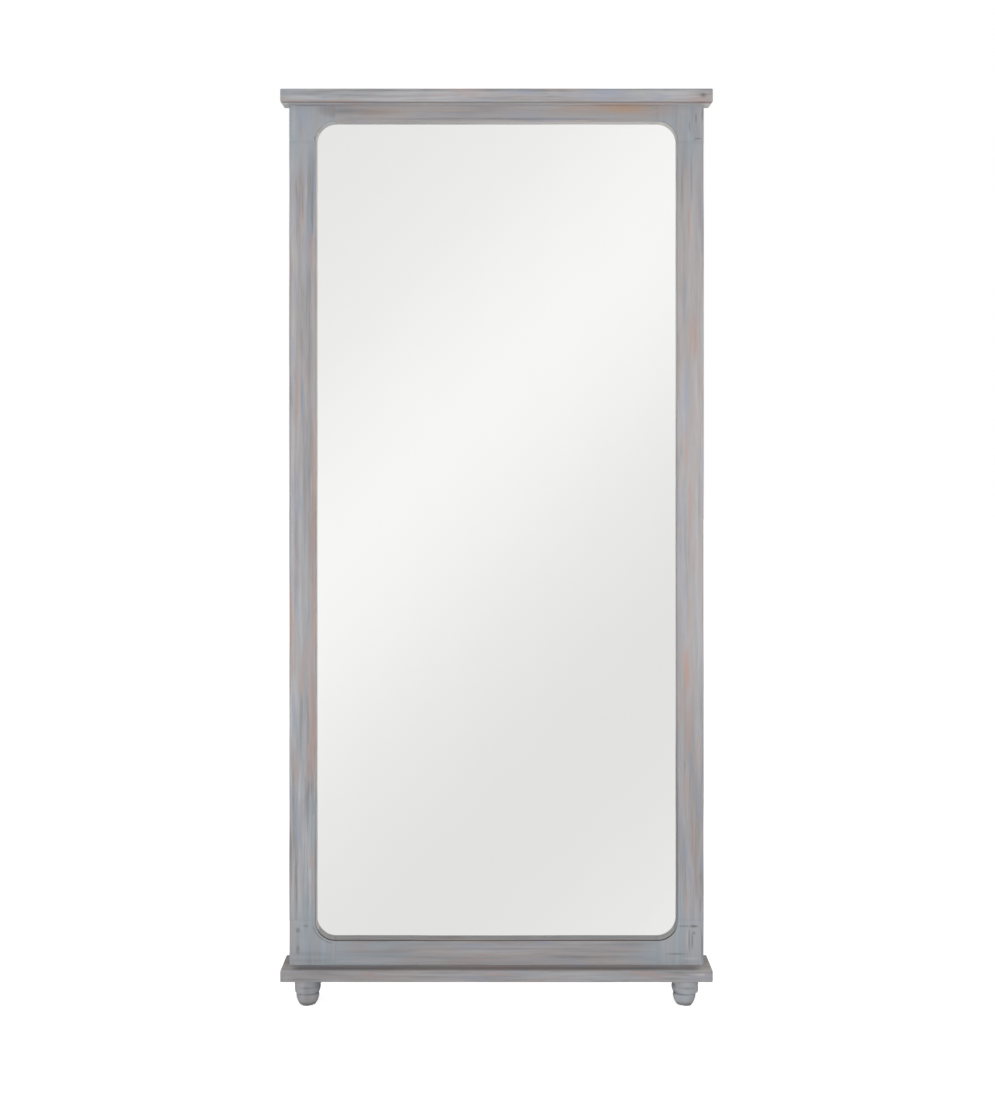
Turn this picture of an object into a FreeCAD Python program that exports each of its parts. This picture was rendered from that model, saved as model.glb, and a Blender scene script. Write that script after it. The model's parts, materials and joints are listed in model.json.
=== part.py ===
import FreeCAD, Part
import math
import os

Vector = FreeCAD.Vector
Rotation = FreeCAD.Rotation
Placement = FreeCAD.Placement

# A floor-standing mirror: a plain wooden frame with rounded inner corners between a cornice board and
# a base board on turned feet. Millimetres, +Z up, the front faces -Y, X is 0 in the middle, Y is 0 in
# the middle of the base board, and Z is 0 on the floor. Left and right are as seen from the front.

# Opening that shows the mirror, between the lips of the frame
opening_width = 714.0
opening_height = 1617.0
opening_corner_radius = 38.0

# Members of the frame: a lip in front, and a rebate behind it for the glass
stile_width = 53.0
top_rail_height = 32.7
bottom_rail_height = 49.8
frame_thickness = 35.0
glass_recess = 18.0
rebate_width = 12.0
lip_edge_radius = 2.5
frame_edge_radius = 1.5

# Boards above and below the frame
cornice_thickness = 26.5
cornice_side_overhang = 13.4
cornice_front_overhang = 37.5
base_thickness = 23.5
base_side_overhang = 13.4
base_front_overhang = 37.5
base_back_overhang = 37.5
board_edge_radius = 2.0

# Turned feet: a collar over a short groove over a bun, on a felt pad
foot_height = 48.5
foot_inset_from_end = 49.9
foot_inset_from_edge = 26.0
collar_height = 25.0
collar_radius = 24.0
collar_rounding = 1.6
groove_height = 1.5
groove_radius = 20.0
bun_radius = 21.9
bun_shoulder_radius = 21.2
foot_flat_radius = 14.0
pad_radius = 10.0
pad_thickness = 2.0

# Heights on the bun, as shares of its own height
bun_low_share = 0.46
bun_widest_share = 0.77
bun_high_share = 0.9

# Radii on the bun at those heights, as shares of the way to the widest radius
bun_low_bulge_share = 0.76
bun_high_bulge_share = 0.7

# Foot fixing: a bolt in the foot that screws into a threaded insert in the base
bolt_radius = 4.0
bolt_length_in_foot = 25.0
bolt_below_insert_top = 1.0
insert_radius = 6.0
insert_length = 15.0
insert_hole_spare_depth = 2.0

# Glass, the blocks that carry it, the backing behind it and the strips that hold both
glass_thickness = 5.0
glass_edge_gap = 3.0
setting_block_length = 30.0
setting_block_share = 0.25
backing_thickness = 3.0
backing_edge_gap = 1.0
strip_width = 14.0
strip_edge_radius = 1.0

# Dowels of the frame and of the cornice
dowel_radius = 4.0
dowel_length = 30.0
cornice_dowel_length = 32.0
cornice_dowel_depth = 14.0
cornice_dowel_place_share = 0.19

# Screws: base to frame, strips to rebate, and wall straps to stiles
base_screw_grip = 24.5
base_screw_radius = 2.5
base_screw_head_radius = 5.0
base_screw_from_outside = 40.0
base_rail_screw_place_share = 0.3
strip_screw_grip = 13.0
strip_screw_radius = 1.6
strip_screw_head_radius = 3.2
strip_screw_end_distance = 90.0
strip_screw_spacing = 290.0
hanger_screw_grip = 14.5
hanger_screw_radius = 2.0
hanger_screw_head_radius = 3.8
hanger_screw_head_height = 1.8
drive_width = 0.9
drive_depth_share = 0.55
drive_reach_share = 0.6

# Wall straps: a folded plate with a barrel, and the ring that swings in it
hanger_below_top = 260.0
plate_length = 48.0
plate_width = 16.0
plate_thickness = 1.5
lower_screw_above_barrel = 15.0
upper_screw_above_barrel = 38.0
ring_wire_radius = 1.7
ring_clearance = 0.3
ring_bar_half_length = 10.0
ring_corner_radius = 4.0
ring_side_length = 4.0

# Clearances round what sits in a hole, and one overrun for cuts that pass an outer face
hole_clearance = 0.1
hole_end_clearance = 0.5
overrun = 1.0

# Largest difference at which two places count as the same
same_place = 0.001

# Places that follow from the sizes above
frame_width = opening_width + 2 * stile_width
half_frame = frame_width / 2
half_opening = opening_width / 2
base_depth = base_front_overhang + frame_thickness + base_back_overhang
base_half_width = half_frame + base_side_overhang
base_front_y = -base_depth / 2
base_back_y = base_depth / 2
face_y = base_front_y + base_front_overhang
back_y = face_y + frame_thickness
glass_front_y = face_y + glass_recess
glass_back_y = glass_front_y + glass_thickness
backing_back_y = glass_back_y + backing_thickness
strip_mid_y = (backing_back_y + back_y) / 2
base_bottom_z = pad_thickness + foot_height
base_top_z = base_bottom_z + base_thickness
opening_bottom_z = base_top_z + bottom_rail_height
opening_top_z = opening_bottom_z + opening_height
frame_top_z = opening_top_z + top_rail_height
cornice_top_z = frame_top_z + cornice_thickness
foot_x = base_half_width - foot_inset_from_end
foot_y = base_back_y - foot_inset_from_edge
rail_half_length = half_opening - opening_corner_radius
stile_bottom_z = opening_bottom_z + opening_corner_radius
stile_top_z = opening_top_z - opening_corner_radius
rebate_half_width = half_opening + rebate_width
rebate_bottom_z = opening_bottom_z - rebate_width
rebate_top_z = opening_top_z + rebate_width
frame_mid_y = (face_y + back_y) / 2
dowel_y = face_y + glass_recess / 2
base_screw_length = base_thickness + base_screw_grip
strip_screw_length = strip_width + strip_screw_grip
hanger_screw_length = plate_thickness + hanger_screw_grip
bolt_length_in_base = insert_length - bolt_below_insert_top

SIDES = {"left": -1, "right": 1}
X_AXIS = Vector(1, 0, 0)
Y_AXIS = Vector(0, 1, 0)
Z_AXIS = Vector(0, 0, 1)

nodes = {}


def box(x0, x1, y0, y1, z0, z1):
    """Box between two planes along each axis, given in either order."""
    low = Vector(min(x0, x1), min(y0, y1), min(z0, z1))
    return Part.makeBox(abs(x1 - x0), abs(y1 - y0), abs(z1 - z0), low)


def cylinder(start, direction, radius, length):
    return Part.makeCylinder(radius, length, start, direction)


def placed(shape, point, direction):
    """Copy of a shape made along +Z, moved to point and turned to direction."""
    copy = shape.copy()
    copy.Placement = Placement(point, Rotation(Z_AXIS, direction))
    return copy


def drilled(shape, cutters):
    """The shape with each cutter that reaches it taken away."""
    near = [cutter for cutter in cutters if cutter.BoundBox.intersect(shape.BoundBox)]
    return shape.cut(near) if near else shape


def rounded_outline(corners, to_space):
    """Closed wire round corners given as (u, v, radius), each rounded by its own radius."""
    points = [Vector(u, v, 0) for u, v, radius in corners]
    stretches = []
    for i, (u, v, radius) in enumerate(corners):
        to_last = (points[i - 1] - points[i]).normalize()
        to_next = (points[(i + 1) % len(points)] - points[i]).normalize()
        half_angle = to_last.getAngle(to_next) / 2
        inset = radius / math.tan(half_angle)
        middle = (to_last + to_next).normalize() * (radius / math.sin(half_angle) - radius)
        turn = [points[i] + to_last * inset, points[i] + middle, points[i] + to_next * inset]
        stretches.append([to_space(p.x, p.y) for p in turn] if radius > 0 else [to_space(u, v)])
    edges = []
    for i, stretch in enumerate(stretches):
        edges.append(Part.LineSegment(stretches[i - 1][-1], stretch[0]).toShape())
        if len(stretch) > 1:
            edges.append(Part.Arc(*stretch).toShape())
    return Part.Wire(edges)


def member_outline(width, outer_radius, to_space):
    """Section of a stile or rail: u runs outwards from the lip, v runs back from the face."""
    corners = [
        (0, 0, lip_edge_radius),
        (width, 0, outer_radius),
        (width, frame_thickness, outer_radius),
        (rebate_width, frame_thickness, 0),
        (rebate_width, glass_recess, 0),
        (0, glass_recess, 0),
    ]
    return rounded_outline(corners, to_space)


def dowel_places(width):
    """(u, v) of the two dowels in the end of a member: one behind the face, one beside the rebate."""
    front = (width / 2, glass_recess / 2)
    rear = ((rebate_width + width) / 2, (glass_recess + frame_thickness) / 2)
    return [front, rear]


def frame_dowels():
    """(middle, direction) of every dowel between a corner block and its stile or rail."""
    places = []
    ends = [
        (opening_bottom_z, stile_bottom_z, -1, bottom_rail_height),
        (opening_top_z, stile_top_z, 1, top_rail_height),
    ]
    for side in SIDES.values():
        for lip_z, stile_end_z, up, rail_height in ends:
            for u, v in dowel_places(stile_width):
                places.append((Vector(side * (half_opening + u), face_y + v, stile_end_z), Z_AXIS))
            for u, v in dowel_places(rail_height):
                places.append((Vector(side * rail_half_length, face_y + v, lip_z + up * u), X_AXIS))
    return places


def stile(side):
    outline = member_outline(
        stile_width,
        frame_edge_radius,
        lambda u, v: Vector(side * (half_opening + u), face_y + v, stile_bottom_z),
    )
    return Part.Face(outline).extrude(Z_AXIS * (stile_top_z - stile_bottom_z))


def rail(lip_z, up, height):
    outline = member_outline(
        height,
        0,
        lambda u, v: Vector(-rail_half_length, face_y + v, lip_z + up * u),
    )
    return Part.Face(outline).extrude(X_AXIS * (2 * rail_half_length))


def corner_block(side, lip_z, up, rail_height):
    """Block that turns a corner of the frame, with the round of the opening cut into it."""
    inner_x = side * rail_half_length
    outer_x = side * half_frame
    inner_z = lip_z - up * opening_corner_radius
    outer_z = lip_z + up * rail_height
    block = box(inner_x, outer_x, face_y, back_y, inner_z, outer_z)
    block = block.makeFillet(frame_edge_radius, upright_edges(block, outer_x))
    opening = cylinder(
        Vector(inner_x, face_y - overrun, inner_z),
        Y_AXIS,
        opening_corner_radius,
        frame_thickness + 2 * overrun,
    )
    block = block.cut(opening)
    block = block.makeFillet(lip_edge_radius, lip_edges(block))
    rebate = box(
        inner_x - side * overrun,
        side * rebate_half_width,
        glass_front_y,
        back_y + overrun,
        inner_z - up * overrun,
        lip_z + up * rebate_width,
    )
    return block.cut(rebate)


def upright_edges(shape, x):
    """Straight upright edges that lie at one X."""
    found = []
    for edge in shape.Edges:
        bounds = edge.BoundBox
        if bounds.ZLength > bounds.XLength + bounds.YLength and abs(bounds.Center.x - x) < same_place:
            found.append(edge)
    return found


def lip_edges(shape):
    """The curved edge of the opening on the front face."""
    return [
        edge
        for edge in shape.Edges
        if isinstance(edge.Curve, Part.Circle)
        and abs(edge.Curve.Radius - opening_corner_radius) < same_place
        and abs(edge.BoundBox.Center.y - face_y) < same_place
    ]


def rounded_board(x0, x1, y0, y1, z0, z1):
    board = box(x0, x1, y0, y1, z0, z1)
    return board.makeFillet(board_edge_radius, board.Edges)


def revolved(points):
    """Solid turned round Z from straight lines through (radius, height) points."""
    outline = Part.makePolygon([Vector(r, 0, z) for r, z in points + points[:1]])
    return Part.Face(outline).revolve(Vector(0, 0, 0), Z_AXIS, 360)


def countersunk_screw(length, radius, head_radius):
    """Wood screw along +Z with its flat head at 0, a cross recess and a pointed tip."""
    cone = head_radius - radius
    shank_end = length - 2 * radius
    body = revolved([(0, 0), (head_radius, 0), (radius, cone), (radius, shank_end), (0, length)])
    reach = head_radius * drive_reach_share
    depth = cone * drive_depth_share
    half = drive_width / 2
    body = body.cut(box(-reach, reach, -half, half, 0, depth))
    return body.cut(box(-half, half, -reach, reach, 0, depth))


def countersunk_cutter(length, radius, head_radius):
    """Hole for such a screw, which also opens the face above the head."""
    wide = head_radius + hole_clearance
    narrow = radius + hole_clearance
    deep = length + hole_end_clearance
    points = [
        (0, -overrun),
        (wide, -overrun),
        (wide, 0),
        (narrow, wide - narrow),
        (narrow, deep),
        (0, deep),
    ]
    return revolved(points)


def pan_head_screw():
    """Strap screw along +Z: the head lies below 0 and the shank above."""
    top = -hanger_screw_head_height
    shoulder = top / 2
    points = [
        (0, top),
        (hanger_screw_head_radius * drive_reach_share, top),
        (hanger_screw_head_radius, shoulder),
        (hanger_screw_head_radius, 0),
        (hanger_screw_radius, 0),
        (hanger_screw_radius, hanger_screw_length - 2 * hanger_screw_radius),
        (0, hanger_screw_length),
    ]
    reach = hanger_screw_head_radius * drive_reach_share
    half = drive_width / 2
    body = revolved(points).cut(box(-reach, reach, -half, half, top, shoulder))
    return body.cut(box(-half, half, -reach, reach, top, shoulder))


def spread(first, last, spacing):
    """Places from first to last, evenly spaced, about one spacing apart."""
    gaps = max(1, round((last - first) / spacing))
    return [first + (last - first) * i / gaps for i in range(gaps + 1)]


def base_screw_places():
    """X of the screws that go up through the base: one in each lower block, three in the rail."""
    block_x = half_frame - base_screw_from_outside
    rail_x = frame_width * base_rail_screw_place_share
    return [-block_x, -rail_x, 0, rail_x, block_x]


def strip_screw_places():
    """(head point, direction) of every screw that holds a strip to the wall of the rebate."""
    places = []
    inner_x = rebate_half_width - strip_width
    for side in SIDES.values():
        for z in spread(
            rebate_bottom_z + strip_screw_end_distance,
            rebate_top_z - strip_screw_end_distance,
            strip_screw_spacing,
        ):
            places.append((Vector(side * inner_x, strip_mid_y, z), X_AXIS * side))
    for wall_z, up in ((rebate_bottom_z, -1), (rebate_top_z, 1)):
        for x in spread(
            -rebate_half_width + strip_screw_end_distance,
            rebate_half_width - strip_screw_end_distance,
            strip_screw_spacing,
        ):
            places.append((Vector(x, strip_mid_y, wall_z - up * strip_width), Z_AXIS * up))
    return places


def cornice_dowel_places():
    """X of the dowels between frame and cornice: one in each upper block, two in the rail."""
    block_x = half_opening + stile_width / 2
    rail_x = frame_width * cornice_dowel_place_share
    return [-block_x, -rail_x, rail_x, block_x]


# Strap places on the backs of the stiles, beside the rebate
hanger_x = (rebate_half_width + half_frame) / 2
barrel_inner_radius = ring_wire_radius + ring_clearance
barrel_outer_radius = barrel_inner_radius + plate_thickness
barrel_y = back_y + barrel_outer_radius
barrel_z = frame_top_z - hanger_below_top - plate_length


def hanger_plate(x):
    """Flat strap with a round end above and a rolled barrel below."""
    round_z = barrel_z + plate_length - plate_width / 2
    half = plate_width / 2
    strap = box(x - half, x + half, back_y, back_y + plate_thickness, barrel_z, round_z)
    strap = strap.fuse(cylinder(Vector(x, back_y, round_z), Y_AXIS, half, plate_thickness))
    barrel_start = Vector(x - half, barrel_y, barrel_z)
    strap = strap.fuse(cylinder(barrel_start, X_AXIS, barrel_outer_radius, plate_width))
    bore_start = Vector(x - half - overrun, barrel_y, barrel_z)
    strap = strap.cut(cylinder(bore_start, X_AXIS, barrel_inner_radius, plate_width + 2 * overrun))
    return strap.removeSplitter()


def hanger_ring(x):
    """D-shaped ring of round wire: a straight bar in the barrel, and a bow that hangs below it."""
    side_x = ring_bar_half_length + ring_corner_radius
    bow_z = ring_corner_radius + ring_side_length
    diagonal_inset = ring_corner_radius * (1 - math.sqrt(0.5))

    def at(across, down):
        return Vector(x + across, barrel_y, barrel_z - down)

    corner_mid = (side_x - diagonal_inset, diagonal_inset)
    edges = [
        Part.LineSegment(at(-ring_bar_half_length, 0), at(ring_bar_half_length, 0)).toShape(),
        Part.Arc(at(ring_bar_half_length, 0), at(*corner_mid), at(side_x, ring_corner_radius)).toShape(),
        Part.LineSegment(at(side_x, ring_corner_radius), at(side_x, bow_z)).toShape(),
        Part.Arc(at(side_x, bow_z), at(0, bow_z + side_x), at(-side_x, bow_z)).toShape(),
        Part.LineSegment(at(-side_x, bow_z), at(-side_x, ring_corner_radius)).toShape(),
        Part.Arc(
            at(-side_x, ring_corner_radius),
            at(-corner_mid[0], corner_mid[1]),
            at(-ring_bar_half_length, 0),
        ).toShape(),
    ]
    path = Part.Wire(edges)
    section = Part.Wire(Part.makeCircle(ring_wire_radius, at(-ring_bar_half_length, 0), X_AXIS))
    ring = path.makePipeShell([section], True, True)
    expected = math.pi * ring_wire_radius**2 * path.Length
    print("ring volume", round(ring.Volume, 1), "of", round(expected, 1))
    return ring


def foot_profile():
    """Half outline of the turned foot from its flat underside up to the base, as edges."""
    bun_height = foot_height - collar_height - groove_height
    bulge = bun_radius - foot_flat_radius
    shoulder_bulge = bun_radius - bun_shoulder_radius

    def at(radius, height):
        return Vector(radius, 0, height)

    flat = at(foot_flat_radius, 0)
    low = at(foot_flat_radius + bulge * bun_low_bulge_share, bun_height * bun_low_share)
    widest = at(bun_radius, bun_height * bun_widest_share)
    high = at(bun_radius - shoulder_bulge * (1 - bun_high_bulge_share), bun_height * bun_high_share)
    shoulder = at(bun_shoulder_radius, bun_height)
    groove_low = at(groove_radius, bun_height)
    groove_high = at(groove_radius, bun_height + groove_height)
    collar_low = at(collar_radius - collar_rounding, bun_height + groove_height)
    collar_mid = at(collar_radius, bun_height + groove_height + collar_height / 2)
    collar_high = at(collar_radius - collar_rounding / 2, foot_height)
    top = at(0, foot_height)
    bottom = at(0, 0)
    return [
        Part.LineSegment(bottom, flat).toShape(),
        Part.Arc(flat, low, widest).toShape(),
        Part.Arc(widest, high, shoulder).toShape(),
        Part.LineSegment(shoulder, groove_low).toShape(),
        Part.LineSegment(groove_low, groove_high).toShape(),
        Part.LineSegment(groove_high, collar_low).toShape(),
        Part.Arc(collar_low, collar_mid, collar_high).toShape(),
        Part.LineSegment(collar_high, top).toShape(),
        Part.LineSegment(top, bottom).toShape(),
    ]


def make_frame():
    cutters = frame_cutters()
    ends = {
        "top": (opening_top_z, 1, top_rail_height),
        "bottom": (opening_bottom_z, -1, bottom_rail_height),
    }
    for side_name, side in SIDES.items():
        nodes[side_name + "_stile"] = drilled(stile(side), cutters)
        for end_name, end in ends.items():
            nodes[end_name + "_" + side_name + "_corner"] = drilled(corner_block(side, *end), cutters)
    for end_name, end in ends.items():
        nodes[end_name + "_rail"] = drilled(rail(*end), cutters)


def frame_cutters():
    """Every hole in the frame: dowels, base screws, strip screws, strap screws and cornice dowels."""
    cutters = []
    half = dowel_length / 2 + hole_end_clearance
    radius = dowel_radius + hole_clearance
    for middle, direction in frame_dowels():
        cutters.append(cylinder(middle - direction * half, direction, radius, 2 * half))
    for x in base_screw_places():
        cutters.append(base_screw_cutter(x))
    cutters += strip_screw_cutters()
    shank = hanger_screw_radius + hole_clearance
    for x, z in hanger_screw_places():
        depth = hanger_screw_length - plate_thickness + hole_end_clearance
        cutters.append(cylinder(Vector(x, back_y + overrun, z), -Y_AXIS, shank, depth + overrun))
    for x in cornice_dowel_places():
        cutters.append(cornice_dowel_cutter(x))
    return cutters


def base_screw_cutter(x):
    cutter = countersunk_cutter(base_screw_length, base_screw_radius, base_screw_head_radius)
    return placed(cutter, Vector(x, frame_mid_y, base_bottom_z), Z_AXIS)


def strip_screw_cutters():
    cutter = countersunk_cutter(strip_screw_length, strip_screw_radius, strip_screw_head_radius)
    return [placed(cutter, point, direction) for point, direction in strip_screw_places()]


def hanger_screw_places():
    """(x, z) of the screws through both straps."""
    rises = (lower_screw_above_barrel, upper_screw_above_barrel)
    return [(side * hanger_x, barrel_z + rise) for side in SIDES.values() for rise in rises]


def cornice_dowel_cutter(x):
    start_z = frame_top_z + cornice_dowel_depth + hole_end_clearance
    start = Vector(x, dowel_y, start_z)
    length = cornice_dowel_length + 2 * hole_end_clearance
    return cylinder(start, -Z_AXIS, dowel_radius + hole_clearance, length)


def make_boards():
    cornice_half_width = half_frame + cornice_side_overhang
    cornice = rounded_board(
        -cornice_half_width,
        cornice_half_width,
        face_y - cornice_front_overhang,
        back_y,
        frame_top_z,
        cornice_top_z,
    )
    nodes["cornice_board"] = drilled(cornice, [cornice_dowel_cutter(x) for x in cornice_dowel_places()])
    base = rounded_board(
        -base_half_width,
        base_half_width,
        base_front_y,
        base_back_y,
        base_bottom_z,
        base_top_z,
    )
    cutters = [base_screw_cutter(x) for x in base_screw_places()]
    for x, y in foot_places().values():
        start = Vector(x, y, base_bottom_z - overrun)
        depth = insert_length + insert_hole_spare_depth + overrun
        cutters.append(cylinder(start, Z_AXIS, insert_radius + hole_clearance, depth))
    nodes["base_board"] = drilled(base, cutters)


def foot_places():
    """Centre of each foot, by name."""
    places = {}
    for row, y in (("front", -foot_y), ("rear", foot_y)):
        for side_name, side in SIDES.items():
            places[row + "_" + side_name + "_foot"] = (side * foot_x, y)
    return places


def make_feet():
    turned = Part.Face(Part.Wire(foot_profile())).revolve(Vector(0, 0, 0), Z_AXIS, 360)
    hole_start = Vector(0, 0, foot_height + overrun)
    hole_depth = bolt_length_in_foot + hole_end_clearance + overrun
    hole_radius = bolt_radius + hole_clearance
    bolt_length = bolt_length_in_foot + bolt_length_in_base
    turned = turned.cut(cylinder(hole_start, -Z_AXIS, hole_radius, hole_depth))
    bolts, inserts, pads = [], [], []
    for name, (x, y) in foot_places().items():
        nodes[name] = placed(turned, Vector(x, y, pad_thickness), Z_AXIS)
        bolt_start = Vector(x, y, base_bottom_z - bolt_length_in_foot)
        bolts.append(cylinder(bolt_start, Z_AXIS, bolt_radius, bolt_length))
        sleeve = cylinder(Vector(x, y, base_bottom_z), Z_AXIS, insert_radius, insert_length)
        bore = cylinder(Vector(x, y, base_bottom_z), Z_AXIS, hole_radius, insert_length)
        inserts.append(sleeve.cut(bore))
        pads.append(cylinder(Vector(x, y, 0), Z_AXIS, pad_radius, pad_thickness))
    nodes["foot_bolts"] = Part.makeCompound(bolts)
    nodes["foot_inserts"] = Part.makeCompound(inserts)
    nodes["foot_pads"] = Part.makeCompound(pads)


def make_glazing():
    """Glass on its setting blocks, the backing board, and the strips that close the rebate."""
    half_glass = rebate_half_width - glass_edge_gap
    glass_bottom_z = rebate_bottom_z + glass_edge_gap
    glass_top_z = rebate_top_z - glass_edge_gap
    nodes["mirror_glass"] = box(
        -half_glass,
        half_glass,
        glass_front_y,
        glass_back_y,
        glass_bottom_z,
        glass_top_z,
    )
    blocks = []
    block_x = half_glass - 2 * half_glass * setting_block_share
    for side in SIDES.values():
        inner = side * block_x - setting_block_length / 2
        outer = side * block_x + setting_block_length / 2
        blocks.append(box(inner, outer, glass_front_y, glass_back_y, rebate_bottom_z, glass_bottom_z))
    nodes["setting_blocks"] = Part.makeCompound(blocks)
    half_backing = rebate_half_width - backing_edge_gap
    nodes["backing_board"] = box(
        -half_backing,
        half_backing,
        glass_back_y,
        backing_back_y,
        rebate_bottom_z + backing_edge_gap,
        rebate_top_z - backing_edge_gap,
    )
    make_strips()


def make_strips():
    cutters = strip_screw_cutters()
    thickness = back_y - backing_back_y
    corners = [
        (0, 0, 0),
        (strip_width, 0, 0),
        (strip_width, thickness, strip_edge_radius),
        (0, thickness, 0),
    ]
    for side_name, side in SIDES.items():
        outline = rounded_outline(
            corners,
            lambda u, v: Vector(side * (rebate_half_width - u), backing_back_y + v, rebate_bottom_z),
        )
        upright = Part.Face(outline).extrude(Z_AXIS * (rebate_top_z - rebate_bottom_z))
        nodes[side_name + "_strip"] = drilled(upright, cutters)
    half_length = rebate_half_width - strip_width
    for end_name, wall_z, up in (("bottom", rebate_bottom_z, -1), ("top", rebate_top_z, 1)):
        outline = rounded_outline(
            corners,
            lambda u, v: Vector(-half_length, backing_back_y + v, wall_z - up * u),
        )
        level = Part.Face(outline).extrude(X_AXIS * (2 * half_length))
        nodes[end_name + "_strip"] = drilled(level, cutters)


def make_fasteners():
    dowels = []
    for middle, direction in frame_dowels():
        start = middle - direction * (dowel_length / 2)
        dowels.append(cylinder(start, direction, dowel_radius, dowel_length))
    nodes["frame_dowels"] = Part.makeCompound(dowels)
    cornice_dowels = []
    for x in cornice_dowel_places():
        start = Vector(x, dowel_y, frame_top_z + cornice_dowel_depth)
        cornice_dowels.append(cylinder(start, -Z_AXIS, dowel_radius, cornice_dowel_length))
    nodes["cornice_dowels"] = Part.makeCompound(cornice_dowels)
    base_screw = countersunk_screw(base_screw_length, base_screw_radius, base_screw_head_radius)
    base_heads = [Vector(x, frame_mid_y, base_bottom_z) for x in base_screw_places()]
    nodes["base_screws"] = Part.makeCompound([placed(base_screw, head, Z_AXIS) for head in base_heads])
    strip_screw = countersunk_screw(strip_screw_length, strip_screw_radius, strip_screw_head_radius)
    strip_screws = [placed(strip_screw, point, direction) for point, direction in strip_screw_places()]
    nodes["strip_screws"] = Part.makeCompound(strip_screws)


def make_hangers():
    plate_back_y = back_y + plate_thickness
    shank = hanger_screw_radius + hole_clearance
    hole_length = plate_thickness + 2 * overrun
    holes = []
    screws = []
    for x, z in hanger_screw_places():
        holes.append(cylinder(Vector(x, back_y - overrun, z), Y_AXIS, shank, hole_length))
        screws.append(placed(pan_head_screw(), Vector(x, plate_back_y, z), -Y_AXIS))
    for side_name, side in SIDES.items():
        nodes[side_name + "_hanger_plate"] = drilled(hanger_plate(side * hanger_x), holes)
        nodes[side_name + "_hanger_ring"] = hanger_ring(side * hanger_x)
    nodes["hanger_screws"] = Part.makeCompound(screws)


make_frame()
make_boards()
make_feet()
make_glazing()
make_fasteners()
make_hangers()

os.makedirs("parts", exist_ok=True)
for name, shape in nodes.items():
    single = shape.Solids[0] if len(shape.Solids) == 1 else shape
    single.exportStep("parts/" + name + ".step")
    print(name, len(shape.Solids), round(shape.Volume), "valid" if shape.isValid() else "INVALID")

print("overall height", cornice_top_z, "base depth", base_depth, "base width", 2 * base_half_width)
print("ring pivot", hanger_x, barrel_y, barrel_z)
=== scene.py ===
import json
import math

import bmesh
import bpy
from bpy.props import FloatProperty, FloatVectorProperty, PointerProperty
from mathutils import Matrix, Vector, noise

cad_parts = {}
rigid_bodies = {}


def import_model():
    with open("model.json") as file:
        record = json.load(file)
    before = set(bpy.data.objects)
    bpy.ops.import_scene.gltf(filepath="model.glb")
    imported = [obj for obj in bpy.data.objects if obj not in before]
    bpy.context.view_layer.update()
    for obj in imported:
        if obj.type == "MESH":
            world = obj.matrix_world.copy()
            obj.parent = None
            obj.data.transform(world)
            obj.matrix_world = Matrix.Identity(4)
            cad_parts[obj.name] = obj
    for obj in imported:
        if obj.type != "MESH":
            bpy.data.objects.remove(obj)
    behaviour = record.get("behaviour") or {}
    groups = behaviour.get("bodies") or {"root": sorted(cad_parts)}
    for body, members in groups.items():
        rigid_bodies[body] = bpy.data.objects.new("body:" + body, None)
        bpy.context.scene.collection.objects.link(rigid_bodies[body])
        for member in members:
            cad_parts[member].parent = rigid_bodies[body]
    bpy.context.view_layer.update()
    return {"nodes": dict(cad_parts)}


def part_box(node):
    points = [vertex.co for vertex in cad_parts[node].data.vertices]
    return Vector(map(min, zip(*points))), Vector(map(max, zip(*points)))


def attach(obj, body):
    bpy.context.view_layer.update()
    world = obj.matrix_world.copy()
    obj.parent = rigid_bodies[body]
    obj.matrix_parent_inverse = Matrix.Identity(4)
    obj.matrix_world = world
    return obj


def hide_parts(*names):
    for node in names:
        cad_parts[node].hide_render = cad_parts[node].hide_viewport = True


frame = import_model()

bl_info = {
    "name": "Washed Wood Floor Mirror",
    "version": (1, 0, 0),
    "blender": (4, 5, 0),
    "location": "View3D > Sidebar > Mirror",
    "description": "Dresses a floor-standing mirror in brushed, washed wood and silvered glass",
    "category": "Object",
}

# Metres throughout, +Z up, the front faces -Y, X is 0 in the middle and Z is 0 on the floor.
X, Y, Z = 0, 1, 2
MIRROR_BODY = "mirror"
SIDES = {"left": -1, "right": 1}

# Places that the construction gives
FACE_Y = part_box("left_stile")[0].y
BACK_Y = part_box("left_stile")[1].y
GLASS_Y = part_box("mirror_glass")[0].y
LIP_X, FRAME_X = (corner.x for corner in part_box("right_stile"))
REBATE_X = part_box("right_strip")[1].x
LIP_Z = {"bottom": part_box("bottom_rail")[1].z, "top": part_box("top_rail")[0].z}
REBATE_Z = {"bottom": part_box("right_strip")[0].z, "top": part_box("right_strip")[1].z}
ROUND_CENTRE_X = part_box("bottom_rail")[1].x
OPENING_ROUND = LIP_X - ROUND_CENTRE_X
FLOOR_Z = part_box("foot_pads")[0].z

# What a washed piece keeps at its vertices for the finish: the height of the brushed grain, how far
# the wash is rubbed to brown (or stands thick and blue, below 0), paler or darker wash together with
# painted light and shade, and dark wax in lines together with painted shade along the lip, under the
# cornice's front edge, on the base in front of the frame and on the feet
COATS = ("grain", "worn", "tint", "grime")

# How often the noise changes across and along the grain, per metre, in the brushed streaks and in
# the patches where the arrises are rubbed
FINE_STREAKS, BROAD_STREAKS, RUBBED_PATCHES = (330, 5), (120, 2), (25, 7)
# Where the cornice's underside and the base's top are rubbed brown: (middle, reach) along the board
CORNICE_RUB, BASE_RUB = (0.26, 0.12), (0.0, 0.16)


def shade(red, green, blue):
    """A colour as seen on a screen, 0 to 255, as the scene's own linear colour."""
    return tuple(((value / 255 + 0.055) / 1.055) ** 2.4 for value in (red, green, blue))


def length_property(name, description, default):
    return FloatProperty(name=name, description=description, default=default, unit="LENGTH")


def plain_property(name, description, default):
    return FloatProperty(name=name, description=description, default=default)


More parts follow.
